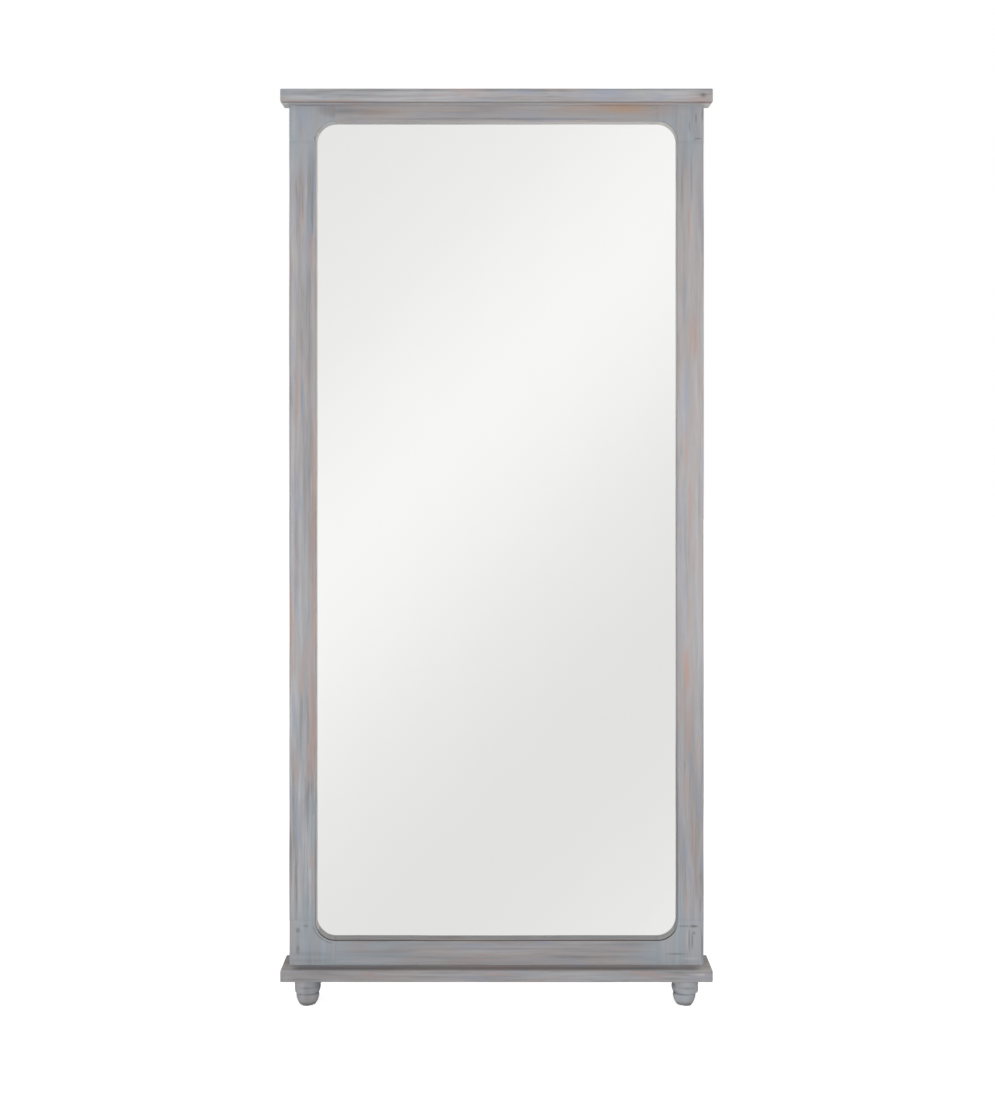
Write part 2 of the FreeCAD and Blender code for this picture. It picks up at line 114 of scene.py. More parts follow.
def colour_property(name, description, red, green, blue):
    return FloatVectorProperty(
        name=name, description=description, subtype="COLOR", min=0, max=1, default=shade(red, green, blue)
    )


class MirrorSizes(bpy.types.PropertyGroup):
    lip_round: length_property("Lip round", "Radius of the edge along the opening", 0.0025)
    frame_round: length_property("Frame round", "Radius of the frame's outer edges", 0.0015)
    board_round: length_property("Board round", "Radius of the edges of the cornice and the base", 0.002)
    grain_depth: length_property("Grain depth", "How deep the wire brush has cut the soft grain", 0.0003)
    wear_depth: length_property("Wear depth", "How far the arrises are rubbed down at their worst", 0.0008)
    joint_chamfer: length_property("Joint chamfer", "How far the members' ends fall away at a joint", 0.00008)
    across_pitch: length_property("Pitch across", "Size of a mesh face across the grain", 0.0018)
    corner_pitch: length_property("Corner pitch", "Size of a mesh face on the corner blocks", 0.0015)
    along_pitch: length_property("Pitch along", "Size of a mesh face along the grain", 0.008)


class MirrorColours(bpy.types.PropertyGroup):
    cool_wash: colour_property("Cool wash", "Bluish grey of the wash", 157, 166, 173)
    warm_wash: colour_property("Warm wash", "Grey where wood shows through the wash", 172, 167, 167)
    # Also the near-white of painted light on the opening's walls, the cornice's underside and the base's top
    chalk_and_light: colour_property("Chalk", "Lime that stands thick inside the opening", 233, 229, 222)
    blue_wash: colour_property("Blue wash", "Wash that stands thick and blue", 152, 162, 183)
    # This pale wash also paints light on the opening's walls, the cornice's underside and the base's top
    pale_wash_and_light: colour_property("Pale wash", "Lime left standing in the grain", 186, 186, 189)
    deep_wash: colour_property("Deep wash", "Grey in the brushed-out grain", 136, 137, 140)
    # This dark wax colour also paints shade along the lip, under the cornice's front edge, on the base in
    # front of the frame and under the feet
    crack: colour_property("Crack", "Dark wax in lines and dents", 79, 68, 57)
    rubbed_wood: colour_property("Rubbed wood", "Brown wood where the wash is rubbed through", 183, 154, 143)
    amber_wood: colour_property("Amber wood", "Yellower wood where the top rail is rubbed", 188, 158, 130)
    pink_wood: colour_property("Pink wood", "Thin wash over reddish wood", 176, 162, 160)


class StageSettings(bpy.types.PropertyGroup):
    camera_distance: length_property(
        "Camera distance", "From the camera to the front of the base board", 3.5904
    )
    camera_height: length_property("Camera height", "Height of the camera above the floor", 1.1276)
    lens: plain_property("Lens", "Focal length, in millimetres", 60.28)
    front_light: plain_property("Front light", "Power of the softbox in front, in watts", 52.0)
    low_light: plain_property("Low light", "Power of the softbox near the floor, in watts", 32.0)
    back_light: plain_property("Back light", "Power of the softbox behind, in watts", 24.0)
    room_light: plain_property("Room light", "Strength of the light from all round", 0.52)


def settings(kind):
    """The sizes, colours or stage settings of the scene."""
    return getattr(bpy.context.scene, "floor_mirror_" + kind)


# Modelling

# Two places nearer than this are the same
NEAR = 1e-5
# The most cuts that one subdivision of an edge may make
MOST_CUTS = 49
# Sides of the cylinder that cuts the opening's rounds
ROUND_SIDES = 160


def leave_everything():
    bpy.ops.object.select_all(action="DESELECT")


def take_up(piece):
    """Make a piece the one selected, active object."""
    leave_everything()
    piece.select_set(True)
    bpy.context.view_layer.objects.active = piece


def apply_place():
    bpy.ops.object.transform_apply(location=True, rotation=True, scale=True)


def add_block(name, low, high):
    """A block between two corners, as the one selected object."""
    leave_everything()
    low, high = Vector(low), Vector(high)
    bpy.ops.mesh.primitive_cube_add(size=1, location=(low + high) / 2, scale=high - low)
    piece = bpy.context.object
    piece.name = name
    apply_place()
    return piece


def pick(piece, kind, test):
    """In edit mode, select only the edges or faces that pass the test, and count them."""
    bpy.ops.mesh.select_mode(type={"edges": "EDGE", "faces": "FACE"}[kind])
    bpy.ops.mesh.select_all(action="DESELECT")
    mesh = bmesh.from_edit_mesh(piece.data)
    found = [element for element in getattr(mesh, kind) if test(element)]
    for element in found:
        element.select_set(True)
    mesh.select_flush_mode()
    bmesh.update_edit_mesh(piece.data)
    return len(found)


def must_pick(piece, kind, test):
    if not pick(piece, kind, test):
        raise RuntimeError("nothing to select on " + piece.name)


def middle(edge):
    return (edge.verts[0].co + edge.verts[1].co) / 2


def runs_along(edge, axis):
    """Whether an edge lies along an axis."""
    step = edge.verts[1].co - edge.verts[0].co
    return abs(step[axis]) > 0.98 * step.length


def on_outer_side(edge, outer_x):
    """Whether an edge runs up the outer side of the frame, along its front or back."""
    spot = middle(edge)
    on_skin = abs(spot.y - FACE_Y) < NEAR or abs(spot.y - BACK_Y) < NEAR
    return runs_along(edge, Z) and abs(spot.x - outer_x) < NEAR and on_skin


def slice_piece(piece, axis, pitch):
    """Cut all edges that lie along an axis into even lengths of about one pitch."""
    while True:
        mesh = bmesh.from_edit_mesh(piece.data)
        longest = max((e.calc_length() for e in mesh.edges if runs_along(e, axis)), default=0)
        cuts = min(MOST_CUTS, round(longest / pitch) - 1)
        if cuts < 1:
            return
        pick(piece, "edges", lambda e: runs_along(e, axis) and e.calc_length() > longest * 0.6)
        bpy.ops.mesh.subdivide(number_cuts=cuts)


def cut_across(piece, axis, place):
    """Cut the whole piece's faces with a plane square to an axis."""
    bpy.ops.mesh.select_all(action="SELECT")
    normal = Vector((0, 0, 0))
    normal[axis] = 1
    bpy.ops.mesh.bisect(plane_co=normal * place, plane_no=normal)


def round_edges(piece, radius, test):
    must_pick(piece, "edges", test)
    bpy.ops.mesh.bevel(offset=radius, segments=4, affect="EDGES")


def settle(piece, body, node):
    """Give the finished piece its shading and its place in the construction."""
    take_up(piece)
    bpy.ops.object.shade_smooth_by_angle(angle=math.radians(40))
    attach(piece, body)
    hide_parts(node)


def grain_rates(along, across_per_metre, along_per_metre):
    return [along_per_metre if axis == along else across_per_metre for axis in (X, Y, Z)]


def streaks(place, along, across_per_metre, along_per_metre, seed):
    """Noise drawn out along the grain, from -1 to 1."""
    rates = grain_rates(along, across_per_metre, along_per_metre)
    spot = Vector([place[axis] * rates[axis] + seed * 7.31 for axis in (X, Y, Z)])
    return noise.noise(spot)


def arris_share(place, low, high, reach, is_board):
    """1 on an outer arris, falling to 0 at the reach from it. Frame members have none at their joints."""
    gaps = [min(place[axis] - low[axis], high[axis] - place[axis]) for axis in (X, Y, Z)]
    if is_board:
        return max(0.0, 1 - sorted(gaps)[1] / reach)
    outer = max(gaps[Y], FRAME_X - abs(place.x))
    lip = max(place.y - FACE_Y, outside_opening(place))
    return max(0.0, 1 - min(outer, lip) / reach)


def smooth_step(value, start, end):
    share = min(1.0, max(0.0, (value - start) / (end - start)))
    return share * share * (3 - 2 * share)


def add_coats(mesh):
    """Add all the coats before any is taken up, because each new one moves those before it."""
    for name in COATS:
        mesh.attributes.new(name, "FLOAT", "POINT")
    return [mesh.attributes[name] for name in COATS]


def mark_share(place, mark, along):
    """How strongly one mark colours a place, up to the mark's own strength."""
    mark_across, mark_along, half_width, half_length, strength = mark[1:]
    u = (place[X if along == Z else Z] - mark_across) / half_width
    v = (place[along] - mark_along) / half_length
    if abs(u) > 1 or abs(v) > 1:
        return 0.0
    return strength * (1 - smooth_step(u * u + v * v, 0, 1))


def outside_opening(place):
    """How far a place on the front lies outside the rounded opening."""
    aside = abs(place.x) - ROUND_CENTRE_X
    past = max(place.z - LIP_Z["top"], LIP_Z["bottom"] - place.z) + OPENING_ROUND
    return math.hypot(max(aside, 0), max(past, 0)) + min(max(aside, past), 0) - OPENING_ROUND


def painted_lip_shade(place):
    """Painted shade along the lip's round: heaviest at the bottom, faint up the sides and at the top."""
    gap = outside_opening(place)
    lowness = smooth_step(place.z, 0.60, 0.13)
    corner = smooth_step(abs(place.x), ROUND_CENTRE_X - 0.03, ROUND_CENTRE_X + 0.02)
    heavy = smooth_step(place.z, 0.156, 0.130)
    strength = 0.04 + 0.16 * lowness + 0.80 * heavy + 0.20 * corner * lowness
    if place.z > LIP_Z["top"] - OPENING_ROUND:
        strength += 0.15 * corner
    on_round = smooth_step(gap, 0.0028, 0.0016) * smooth_step(gap, 0.0001, 0.0006)
    in_corner = smooth_step(-place.x, ROUND_CENTRE_X + 0.002, ROUND_CENTRE_X + 0.010)
    in_corner *= smooth_step(place.z, LIP_Z["bottom"] + 0.030, LIP_Z["bottom"] + 0.022)
    # A painted dark arc a little outside the round in the lower left corner, the shade line of a small bead
    second = 0.35 * in_corner * smooth_step(abs(gap - 0.0068), 0.0020, 0.0005)
    return max(strength * on_round, second)


def painted_wall_light(place):
    """Painted light on the walls inside the opening: paler than the face, up to near-white, least at the
    lower right.
    """
    if place.y < FACE_Y + 0.002 or outside_opening(place) > 0.0008:
        return 0.0
    if place.z < LIP_Z["bottom"] + OPENING_ROUND / 2:
        return 1.2
    if place.z > LIP_Z["top"] - OPENING_ROUND / 2:
        return 1.15 + 0.50 * smooth_step(place.x, -0.2, 0.2)
    if place.x < 0:
        return 1.65 + 0.2 * smooth_step(place.z, 0.5, 1.0)
    return 0.5 + 0.7 * smooth_step(place.z, 0.3, 0.6) + 0.3 * smooth_step(place.z, 1.0, 1.4)


def hump(value, centre, reach):
    """1 at the centre, falling smoothly to 0 at the reach on either side."""
    return smooth_step(abs(value - centre), reach, 0)


def board_coats(place, normal, low, high):
    """Rubbed brown, painted light and painted shade on the cornice's underside and the base's top."""
    if low.z > LIP_Z["top"]:
        below = smooth_step(-normal.z, 0.3, 0.9)
        # wax below is a painted shadow line along the underside just behind its front edge
        under_edge = smooth_step(place.z, low.z + 0.0012, low.z + 0.0003)
        wax = under_edge * smooth_step(place.y, low.y + 0.013, low.y + 0.008)
        brown = below * (0.10 + 0.40 * hump(place.x, *CORNICE_RUB))
        # Painted light: the whole underside is painted paler, more to the right and most beyond the frame
        past_frame = smooth_step(abs(place.x), FRAME_X - 0.004, FRAME_X)
        paler = 0.3 * smooth_step(place.x, 0.0, 0.2) + 0.45 * past_frame
        return brown, below * (0.9 + paler), 0.55 * wax
    above = smooth_step(normal.z, 0.3, 0.9)
    # Painted light and shade on the base's top: paler all over and more at its ends beyond the frame, with a
    # painted shadow in front of the frame that is weaker at the right
    beside = smooth_step(abs(place.x), FRAME_X - 0.026, FRAME_X - 0.004)
    shaded = hump(place.y, low.y + 0.016, 0.018) * (1 - beside)
    shaded *= 1 - 0.5 * smooth_step(place.x, 0.30, 0.36)
    brown = 0.13 + 0.22 * hump(place.x, *BASE_RUB)
    beside *= smooth_step(place.y, low.y + 0.085, low.y + 0.010)
    return above * brown, above * (1.1 + 0.6 * beside - 1.1 * shaded), 0.28 * above * shaded


def weather(piece, along, seed, node, ends=()):
    """Brush the grain into a dense mesh, rub its arrises, and keep what the finish needs as attributes.

    Where ends is given, the piece falls away a little at those two places along the grain.
    """
    sizes = settings("sizes")
    mesh = piece.data
    corners = [Vector(corner) for corner in piece.bound_box]
    low, high = corners[0], corners[6]
    is_board = node.endswith("_board")
    grain, worn, tint, grime = add_coats(mesh)
    reach = 2 * sizes.board_round
    starts = [(vertex.co.copy(), vertex.normal.copy()) for vertex in mesh.vertices]
    for index, (place, normal) in enumerate(starts):
        fine = streaks(place, along, *FINE_STREAKS, seed)
        broad = streaks(place, along, *BROAD_STREAKS, seed + 1)
        ridge = 0.5 + 0.35 * fine + 0.3 * broad
        arris = arris_share(place, low, high, reach, is_board)
        rub = smooth_step(streaks(place, along, *RUBBED_PATCHES, seed + 2), -0.1, 0.5)
        inward = sizes.grain_depth * (1 - ridge) + sizes.wear_depth * arris * rub
        if any(abs(place[along] - end) < sizes.joint_chamfer / 4 for end in ends):
            inward += sizes.joint_chamfer
        skin = normal.copy()
        normal[along] = 0
        if normal.length > 0:
            mesh.vertices[index].co = place - normal.normalized() * inward
        if is_board:
            brown, shift, dark = board_coats(place, skin, low, high)
        else:
            # Painted light on the opening's walls, and painted shade along the lip
            brown, shift, dark = 0.0, painted_wall_light(place), painted_lip_shade(place)
        brown = max(brown, 0.35 * arris * rub)
        blue = 0.0
        if place.y < low.y + reach:
            for mark in MARKS.get(node, ()):
                share = mark_share(place, mark, along)
                if mark[0] == "brown":
                    brown = max(brown, share)
                elif mark[0] == "blue":
                    blue = max(blue, share)
                elif mark[0] == "pale":
                    shift += share
                elif mark[0] == "dark":
                    shift -= share
                else:
                    dark = max(dark, share)
        grain.data[index].value = ridge
        worn.data[index].value = brown - blue
        tint.data[index].value = shift
        grime.data[index].value = dark


# Pieces with the same number share their streaks.
PLANKS = {"left": 3, "right": 5, "top": 8, "bottom": 11, "cornice_board": 13, "base_board": 16, "feet": 19}

# How the wash changes along each piece, as curves of (place along the grain, level): how pale it
# is, which is partly painted shade that darkens the pieces towards the base and along the top rail
# under the cornice, how blue, and how strong the streaks are
CORNER_WASH_AND_SHADE = {
    "top_left": {"tone": 0.97, "coolness": 0.72, "calm": 0.30},
    "top_right": {"tone": 0.935, "coolness": 0.62, "calm": 0.60},
    "bottom_left": {"tone": 0.81, "coolness": 0.80, "calm": 0.50},
    "bottom_right": {"tone": 0.84, "coolness": 0.76, "calm": 0.50},
}
STILE_WASH_AND_SHADE = {
    "left": {
        "tone": (
            (0.16, 0.81), (0.50, 0.83), (0.72, 0.88), (0.93, 0.845),
            (1.15, 0.89), (1.40, 0.90), (1.70, 0.97),
        ),
        "coolness": ((0.16, 0.80), (0.24, 0.40), (0.80, 0.05), (1.45, 0.05), (1.60, 0.18), (1.70, 0.72)),
        "calm": (
            (0.16, 0.50), (0.22, 1.5), (0.55, 1.4), (0.70, 1.0),
            (1.40, 1.0), (1.60, 1.25), (1.70, 0.30),
        ),
    },
    "right": {
        "tone": (
            (0.16, 0.83), (0.24, 0.765), (0.45, 0.80), (0.72, 0.915),
            (1.14, 0.98), (1.36, 0.95), (1.70, 0.92),
        ),
        "coolness": ((0.14, 0.76), (0.24, 0.05), (0.80, 0.02), (1.45, 0.05), (1.60, 0.14), (1.70, 0.62)),
        "calm": ((0.16, 0.50), (0.22, 1.3), (0.60, 0.8), (1.60, 0.8), (1.70, 0.60)),
    },
}
RAIL_WASH_AND_SHADE = {
    "top": {
        "tone": ((-0.325, 0.93), (-0.28, 0.840), (-0.10, 0.895), (0.27, 0.90)),
        "coolness": ((-0.325, 0.40), (-0.28, 0.0), (0.28, 0.0), (0.325, 0.40)),
        "calm": ((-0.32, 0.25), (-0.27, 0.7), (0.27, 0.7), (0.32, 0.45)),
        "rubbed": "amber_wood",
    },
    "bottom": {
        "tone": ((-0.32, 0.81), (-0.26, 0.745), (0.26, 0.760), (0.32, 0.83)),
        "coolness": ((-0.325, 0.80), (-0.10, 0.12), (0.24, 0.12), (0.325, 0.80)),
        "calm": ((-0.32, 0.35), (-0.26, 0.9), (0.26, 0.9), (0.32, 0.35)),
    },
}
BOARD_WASH_AND_SHADE = {
    "cornice_board": {
        "tone": ((-0.38, 0.945), (-0.26, 0.905), (-0.10, 0.975), (0.20, 0.975), (0.36, 0.945)),
        "coolness": 0.42,
        "calm": 1.45,
    },
    "base_board": {
        "tone": ((-0.30, 0.675), (-0.08, 0.760), (0.10, 0.715), (0.30, 0.715)),
        "coolness": ((-0.30, 0.24), (0.0, 0.28), (0.30, 0.10)),
        "calm": ((-0.30, 1.05), (0.10, 1.10), (0.30, 1.50)),
    },
}
# Tone across each foot, as (x, level): the foot's own tone, with painted light towards its edges and painted
# shade towards its middle
FOOT_TONE_AND_SHADING = {
    "left": ((-0.396, 1.08), (-0.383, 0.86), (-0.371, 0.66), (-0.352, 0.76)),
    "right": ((0.350, 1.15), (0.362, 0.90), (0.385, 0.86), (0.397, 1.00)),
}

# Marks on the front, of wear and wash, with dark bands low on the frame just above the base:
# (kind, across, along, half width, half length, strength).
# Across is X on the upright members and the corner blocks, and Z on the level members and boards.
MARKS = {
    "left_stile": [
        ("pale", -0.4027, 1.1118, 0.0048, 0.6524, 0.8),
        ("pale", -0.4025, 1.58, 0.0075, 0.15, 0.45),
        ("dark", -0.3875, 1.585, 0.0063, 0.125, 0.48),
        ("dark", -0.3677, 1.585, 0.0099, 0.13, 0.78),
        ("dark", -0.3612, 1.59, 0.005, 0.13, 0.6),
        ("dark", -0.3697, 1.1316, 0.0089, 0.4547, 0.3),
        ("dark", -0.3628, 0.8746, 0.0032, 0.514, 0.45),
        ("pale", -0.3855, 0.8746, 0.0051, 0.2965, 0.35),
        ("dark", -0.374, 0.4199, 0.004, 0.1779, 0.6),
        ("dark", -0.4082, 0.2815, 0.0043, 0.1581, 0.55),
        ("dark", -0.3964, 0.2024, 0.0036, 0.0791, 0.7),
        ("dark", -0.4023, 0.4298, 0.0036, 0.0791, 0.5),
        ("pale", -0.3894, 0.3408, 0.0043, 0.1779, 0.5),
        ("pale", -0.3695, 0.3309, 0.004, 0.1581, 0.35),
        ("dark", -0.3661, 0.321, 0.0024, 0.0791, 0.6),
        ("dark", -0.4086, 1.092, 0.002, 0.5733, 0.5),
        ("brown", -0.3645, 0.56, 0.0085, 0.175, 0.66),
        ("dark", -0.3635, 0.49, 0.0055, 0.15, 0.45),
        ("brown", -0.363, 0.76, 0.0055, 0.13, 0.63),
        ("brown", -0.3618, 1.0327, 0.0043, 0.1878, 0.7),
        ("brown", -0.3944, 1.2067, 0.0043, 0.089, 0.63),
        ("brown", -0.4062, 0.756, 0.0036, 0.0791, 0.84),
        ("brown", -0.4053, 1.438, 0.003, 0.0791, 0.49),
        ("brown", -0.3677, 0.8943, 0.004, 0.0791, 0.42),
        ("blue", -0.3845, 1.1909, 0.0047, 0.089, 0.4),
        ("blue", -0.3973, 0.7955, 0.004, 0.0692, 0.5),
        ("brown", -0.368, 1.487, 0.01, 0.05, 0.32),
        ("pale", -0.399, 1.566, 0.01, 0.05, 0.3),
        ("pale", -0.399, 0.578, 0.012, 0.095, 0.5),
        ("blue", -0.399, 1.408, 0.01, 0.045, 0.3),
    ],
    "right_stile": [
        ("pale", 0.3964, 0.8746, 0.0043, 0.2175, 0.45),
        ("pale", 0.4062, 1.1316, 0.003, 0.5931, 0.45),
        ("dark", 0.3564, 0.3606, 0.0051, 0.257, 0.6),
        ("line", 0.3535, 0.3013, 0.0018, 0.2175, 0.45),
        ("pale", 0.3778, 0.2321, 0.0028, 0.1087, 0.45),
        ("dark", 0.3875, 0.2222, 0.004, 0.1186, 0.3),
        ("pale", 0.3588, 0.9042, 0.0024, 0.1779, 0.3),
        ("line", 0.3667, 1.6258, 0.0016, 0.0791, 0.25),
        ("line", 0.3851, 1.6258, 0.0016, 0.083, 0.3),
        ("brown", 0.3805, 1.5427, 0.0043, 0.0554, 0.56),
        ("brown", 0.3924, 1.3134, 0.0055, 0.0593, 0.77),
        ("brown", 0.3825, 1.3194, 0.0047, 0.0593, 0.49),
        ("brown", 0.4003, 1.2205, 0.0036, 0.0435, 0.42),
        ("brown", 0.3756, 1.096, 0.0047, 0.0514, 0.42),
        ("brown", 0.3825, 0.9932, 0.0049, 0.0692, 0.42),
        ("brown", 0.3786, 0.7658, 0.0049, 0.0593, 0.42),
        ("brown", 0.3756, 0.6571, 0.0067, 0.0593, 0.84),
        ("brown", 0.3786, 0.5385, 0.0062, 0.065, 0.5),
        ("brown", 0.3894, 0.325, 0.0043, 0.0554, 0.4),
        ("blue", 0.3746, 1.2146, 0.0051, 0.0633, 0.6),
        ("pale", 0.399, 0.499, 0.012, 0.085, 0.45),
        ("brown", 0.399, 0.48, 0.01, 0.065, 0.2),
        ("dark", 0.368, 1.408, 0.01, 0.045, 0.25),
        ("dark", 0.399, 0.222, 0.012, 0.045, 0.3),
        ("brown", 0.368, 0.696, 0.01, 0.045, 0.2),
    ],
    "top_rail": [
        ("brown", 1.768, 0.25, 0.015, 0.072, 0.58),
        ("brown", 1.765, 0.195, 0.012, 0.12, 0.28),
        ("brown", 1.765, 0.319, 0.017, 0.06, 0.13),
        ("dark", 1.765, -0.319, 0.017, 0.045, 0.5),
        ("brown", 1.7721, -0.2857, 0.0036, 0.0277, 0.3),
        ("brown", 1.7543, -0.256, 0.0032, 0.0237, 0.3),
        ("brown", 1.7641, 0.1255, 0.0049, 0.0791, 0.15),
        ("brown", 1.7622, -0.082, 0.004, 0.0791, 0.15),
        ("blue", 1.7572, -0.1117, 0.003, 0.1186, 0.35),
        ("dark", 1.7612, -0.26, 0.0079, 0.089, 0.5),
        ("brown", 1.76, -0.22, 0.011, 0.09, 0.22),
        ("dark", 1.7466, 0.0069, 0.003, 0.3361, 0.8),
        ("dark", 1.7466, 0.07, 0.0026, 0.15, 0.4),
        ("dark", 1.7602, -0.0524, 0.003, 0.0988, 0.3),
        ("pale", 1.7434, -0.1908, 0.002, 0.1186, 0.4),
    ],
    "bottom_rail": [
        ("pale", 0.1105, 0.0069, 0.0022, 0.2965, 0.4),
        ("pale", 0.1006, -0.0524, 0.0022, 0.1384, 0.3),
        ("dark", 0.1056, 0.0465, 0.0024, 0.2372, 0.3),
        # A dark band along the rail just above the base
        ("dark", 0.0898, 0.0069, 0.0059, 0.3163, 0.35),
        ("dark", 0.1164, 0.2837, 0.0022, 0.0593, 0.5),
        ("blue", 0.1135, -0.2303, 0.003, 0.0791, 0.3),
        ("blue", 0.0838, 0.086, 0.003, 0.1186, 0.3),
        ("brown", 0.1046, 0.25, 0.003, 0.045, 0.35),
        ("dark", 0.0898, 0.18, 0.004, 0.12, 0.25),
        ("brown", 0.1046, 0.2303, 0.0028, 0.0119, 0.3),
        ("brown", 0.1184, 0.0069, 0.0022, 0.1186, 0.25),
        ("brown", 0.0947, -0.0208, 0.0028, 0.0435, 0.3),
    ],
    "cornice_board": [
        ("dark", 1.7967, -0.001, 0.003, 0.4206, 0.95),
        ("dark", 1.796, -0.2573, 0.0026, 0.09, 0.4),
        ("pale", 1.7918, -0.21, 0.0032, 0.07, 0.85),
        ("pale", 1.7795, -0.27, 0.0032, 0.15, 0.95),
        ("dark", 1.7935, -0.3, 0.0022, 0.13, 0.5),
        ("dark", 1.785, -0.17, 0.003, 0.1, 0.55),
        ("pale", 1.7916, -0.091, 0.0027, 0.0978, 0.5),
        ("pale", 1.781, -0.091, 0.0023, 0.1174, 0.4),
        ("pale", 1.782, -0.3844, 0.0049, 0.0489, 0.35),
        ("pale", 1.7898, 0.3433, 0.0059, 0.047, 0.6),
        ("blue", 1.782, -0.3375, 0.0035, 0.0117, 0.8),
        ("blue", 1.7889, 0.3101, 0.0029, 0.0235, 0.4),
        ("dark", 1.7859, -0.2573, 0.0029, 0.0685, 0.4),
        ("dark", 1.784, 0.0851, 0.0022, 0.1174, 0.25),
        ("dark", 1.7781, 0.359, 0.002, 0.0391, 0.5),
        ("line", 1.7869, 0.403, 0.0055, 0.007, 0.55),
        ("dark", 1.7869, 0.403, 0.0095, 0.015, 0.55),
        ("brown", 1.7785, 0.2221, 0.0022, 0.043, 0.3),
    ],
    "base_board": [
        ("brown", 0.0672, -0.2514, 0.0035, 0.0176, 0.6),
        ("brown", 0.0662, 0.0068, 0.0031, 0.043, 0.5),
        ("brown", 0.0594, 0.1105, 0.0029, 0.0489, 0.25),
        ("brown", 0.0692, -0.0323, 0.0022, 0.0783, 0.3),
        ("pale", 0.059, -0.411, 0.008, 0.012, 0.8),
        ("pale", 0.0604, 0.1242, 0.0029, 0.1174, 0.12),
        ("pale", 0.066, 0.394, 0.0034, 0.024, 1.1),
        ("pale", 0.062, 0.409, 0.011, 0.018, 0.55),
        ("pale", 0.059, 0.3786, 0.0026, 0.03, 0.7),
        ("dark", 0.069, 0.33, 0.004, 0.05, 0.45),
        ("dark", 0.0555, -0.3844, 0.0029, 0.0587, 0.5),
        ("dark", 0.0721, -0.3453, 0.0023, 0.0685, 0.5),
        ("dark", 0.0565, -0.2475, 0.0022, 0.0587, 0.3),
        ("blue", 0.0633, 0.4138, 0.0059, 0.0098, 0.5),
    ],
    "bottom_left_corner": [
        ("dark", -0.3766, 0.151, 0.007, 0.003, 1.0),
        ("dark", -0.3924, 0.1425, 0.0055, 0.0065, 1.2),
        ("dark", -0.3924, 0.1046, 0.005, 0.011, 0.9),
        ("dark", -0.3938, 0.1234, 0.0055, 0.0356, 0.4),
        # Two dark bands just above the base
        ("dark", -0.37, 0.096, 0.05, 0.006, 0.4),
        ("dark", -0.37, 0.083, 0.05, 0.005, 0.35),
    ],
    "bottom_right_corner": [
        ("line", 0.3707, 0.151, 0.0158, 0.002, 0.4),
        ("line", 0.39, 0.1506, 0.011, 0.003, 0.62),
        ("pale", 0.377, 0.1234, 0.0024, 0.0297, 0.8),
        ("line", 0.3812, 0.1234, 0.002, 0.0297, 0.42),
        ("line", 0.3548, 0.0961, 0.0257, 0.0022, 0.42),
        ("line", 0.3869, 0.1224, 0.0016, 0.0257, 0.5),
        ("line", 0.391, 0.1372, 0.0026, 0.0036, 0.5),
        ("line", 0.406, 0.112, 0.002, 0.04, 0.45),
        ("pale", 0.3825, 0.0868, 0.025, 0.0034, 0.6),
    ],
    "top_left_corner": [
        ("line", -0.3707, 1.7736, 0.0435, 0.0018, 0.55),
        ("blue", -0.3845, 1.7503, 0.0158, 0.0277, 0.5),
        ("line", -0.3592, 1.7088, 0.0016, 0.0059, 0.5),
        ("pale", -0.4013, 1.7444, 0.0051, 0.0514, 0.5),
        ("dark", -0.3875, 1.7286, 0.0059, 0.0316, 0.3),
        ("brown", -0.319, 1.765, 0.04, 0.017, 0.16),
        ("dark", -0.319, 1.765, 0.04, 0.019, 0.9),
    ],
    "top_right_corner": [
        ("line", 0.3944, 1.7483, 0.0018, 0.0138, 0.45),
        ("line", 0.4068, 1.7543, 0.0016, 0.0158, 0.4),
        ("line", 0.3815, 1.7325, 0.0016, 0.0138, 0.45),
        ("line", 0.3983, 1.7076, 0.0099, 0.0018, 0.5),
        ("pale", 0.3707, 1.7602, 0.0158, 0.0079, 0.2),
        ("brown", 0.319, 1.765, 0.052, 0.02, 0.34),
        ("dark", 0.396, 1.715, 0.01, 0.035, 0.3),
    ],
}


def make_member(node, along, inner_axis, inner_place, rebate_place, seed):
    """A stile or rail: a front layer as wide as the member, and a narrower one behind for the rebate."""
    sizes = settings("sizes")
    low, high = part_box(node)
    front_high = high.copy()
    front_high.y = GLASS_Y
    piece = add_block(node + "_wood", low, front_high)
    bpy.ops.object.mode_set(mode="EDIT")
    cut_across(piece, inner_axis, rebate_place)
    outer = 1 if rebate_place > inner_place else -1
    must_pick(
        piece,
        "faces",
        lambda f: f.normal.y > 0.9 and (f.calc_center_median()[inner_axis] - rebate_place) * outer > 0,
    )
    depth = (0, BACK_Y - GLASS_Y, 0)
    bpy.ops.mesh.extrude_region_move(TRANSFORM_OT_translate={"value": depth})

    def on_lip(edge):
        spot = middle(edge)
        level = abs(spot[inner_axis] - inner_place) < NEAR
        return runs_along(edge, along) and level and abs(spot.y - FACE_Y) < NEAR

    round_edges(piece, sizes.lip_round, on_lip)
    if along == Z:
        outer_x = high.x if outer > 0 else low.x
        round_edges(piece, sizes.frame_round, lambda edge: on_outer_side(edge, outer_x))
    for end in (low[along] + 2 * sizes.joint_chamfer, high[along] - 2 * sizes.joint_chamfer):
        cut_across(piece, along, end)
    slice_piece(piece, along, sizes.along_pitch)
    slice_piece(piece, inner_axis, sizes.across_pitch)
    slice_piece(piece, Y, sizes.across_pitch)
    bpy.ops.object.mode_set(mode="OBJECT")
    weather(piece, along, seed, node, (low[along], high[along]))
    settle(piece, MIRROR_BODY, node)
    return piece


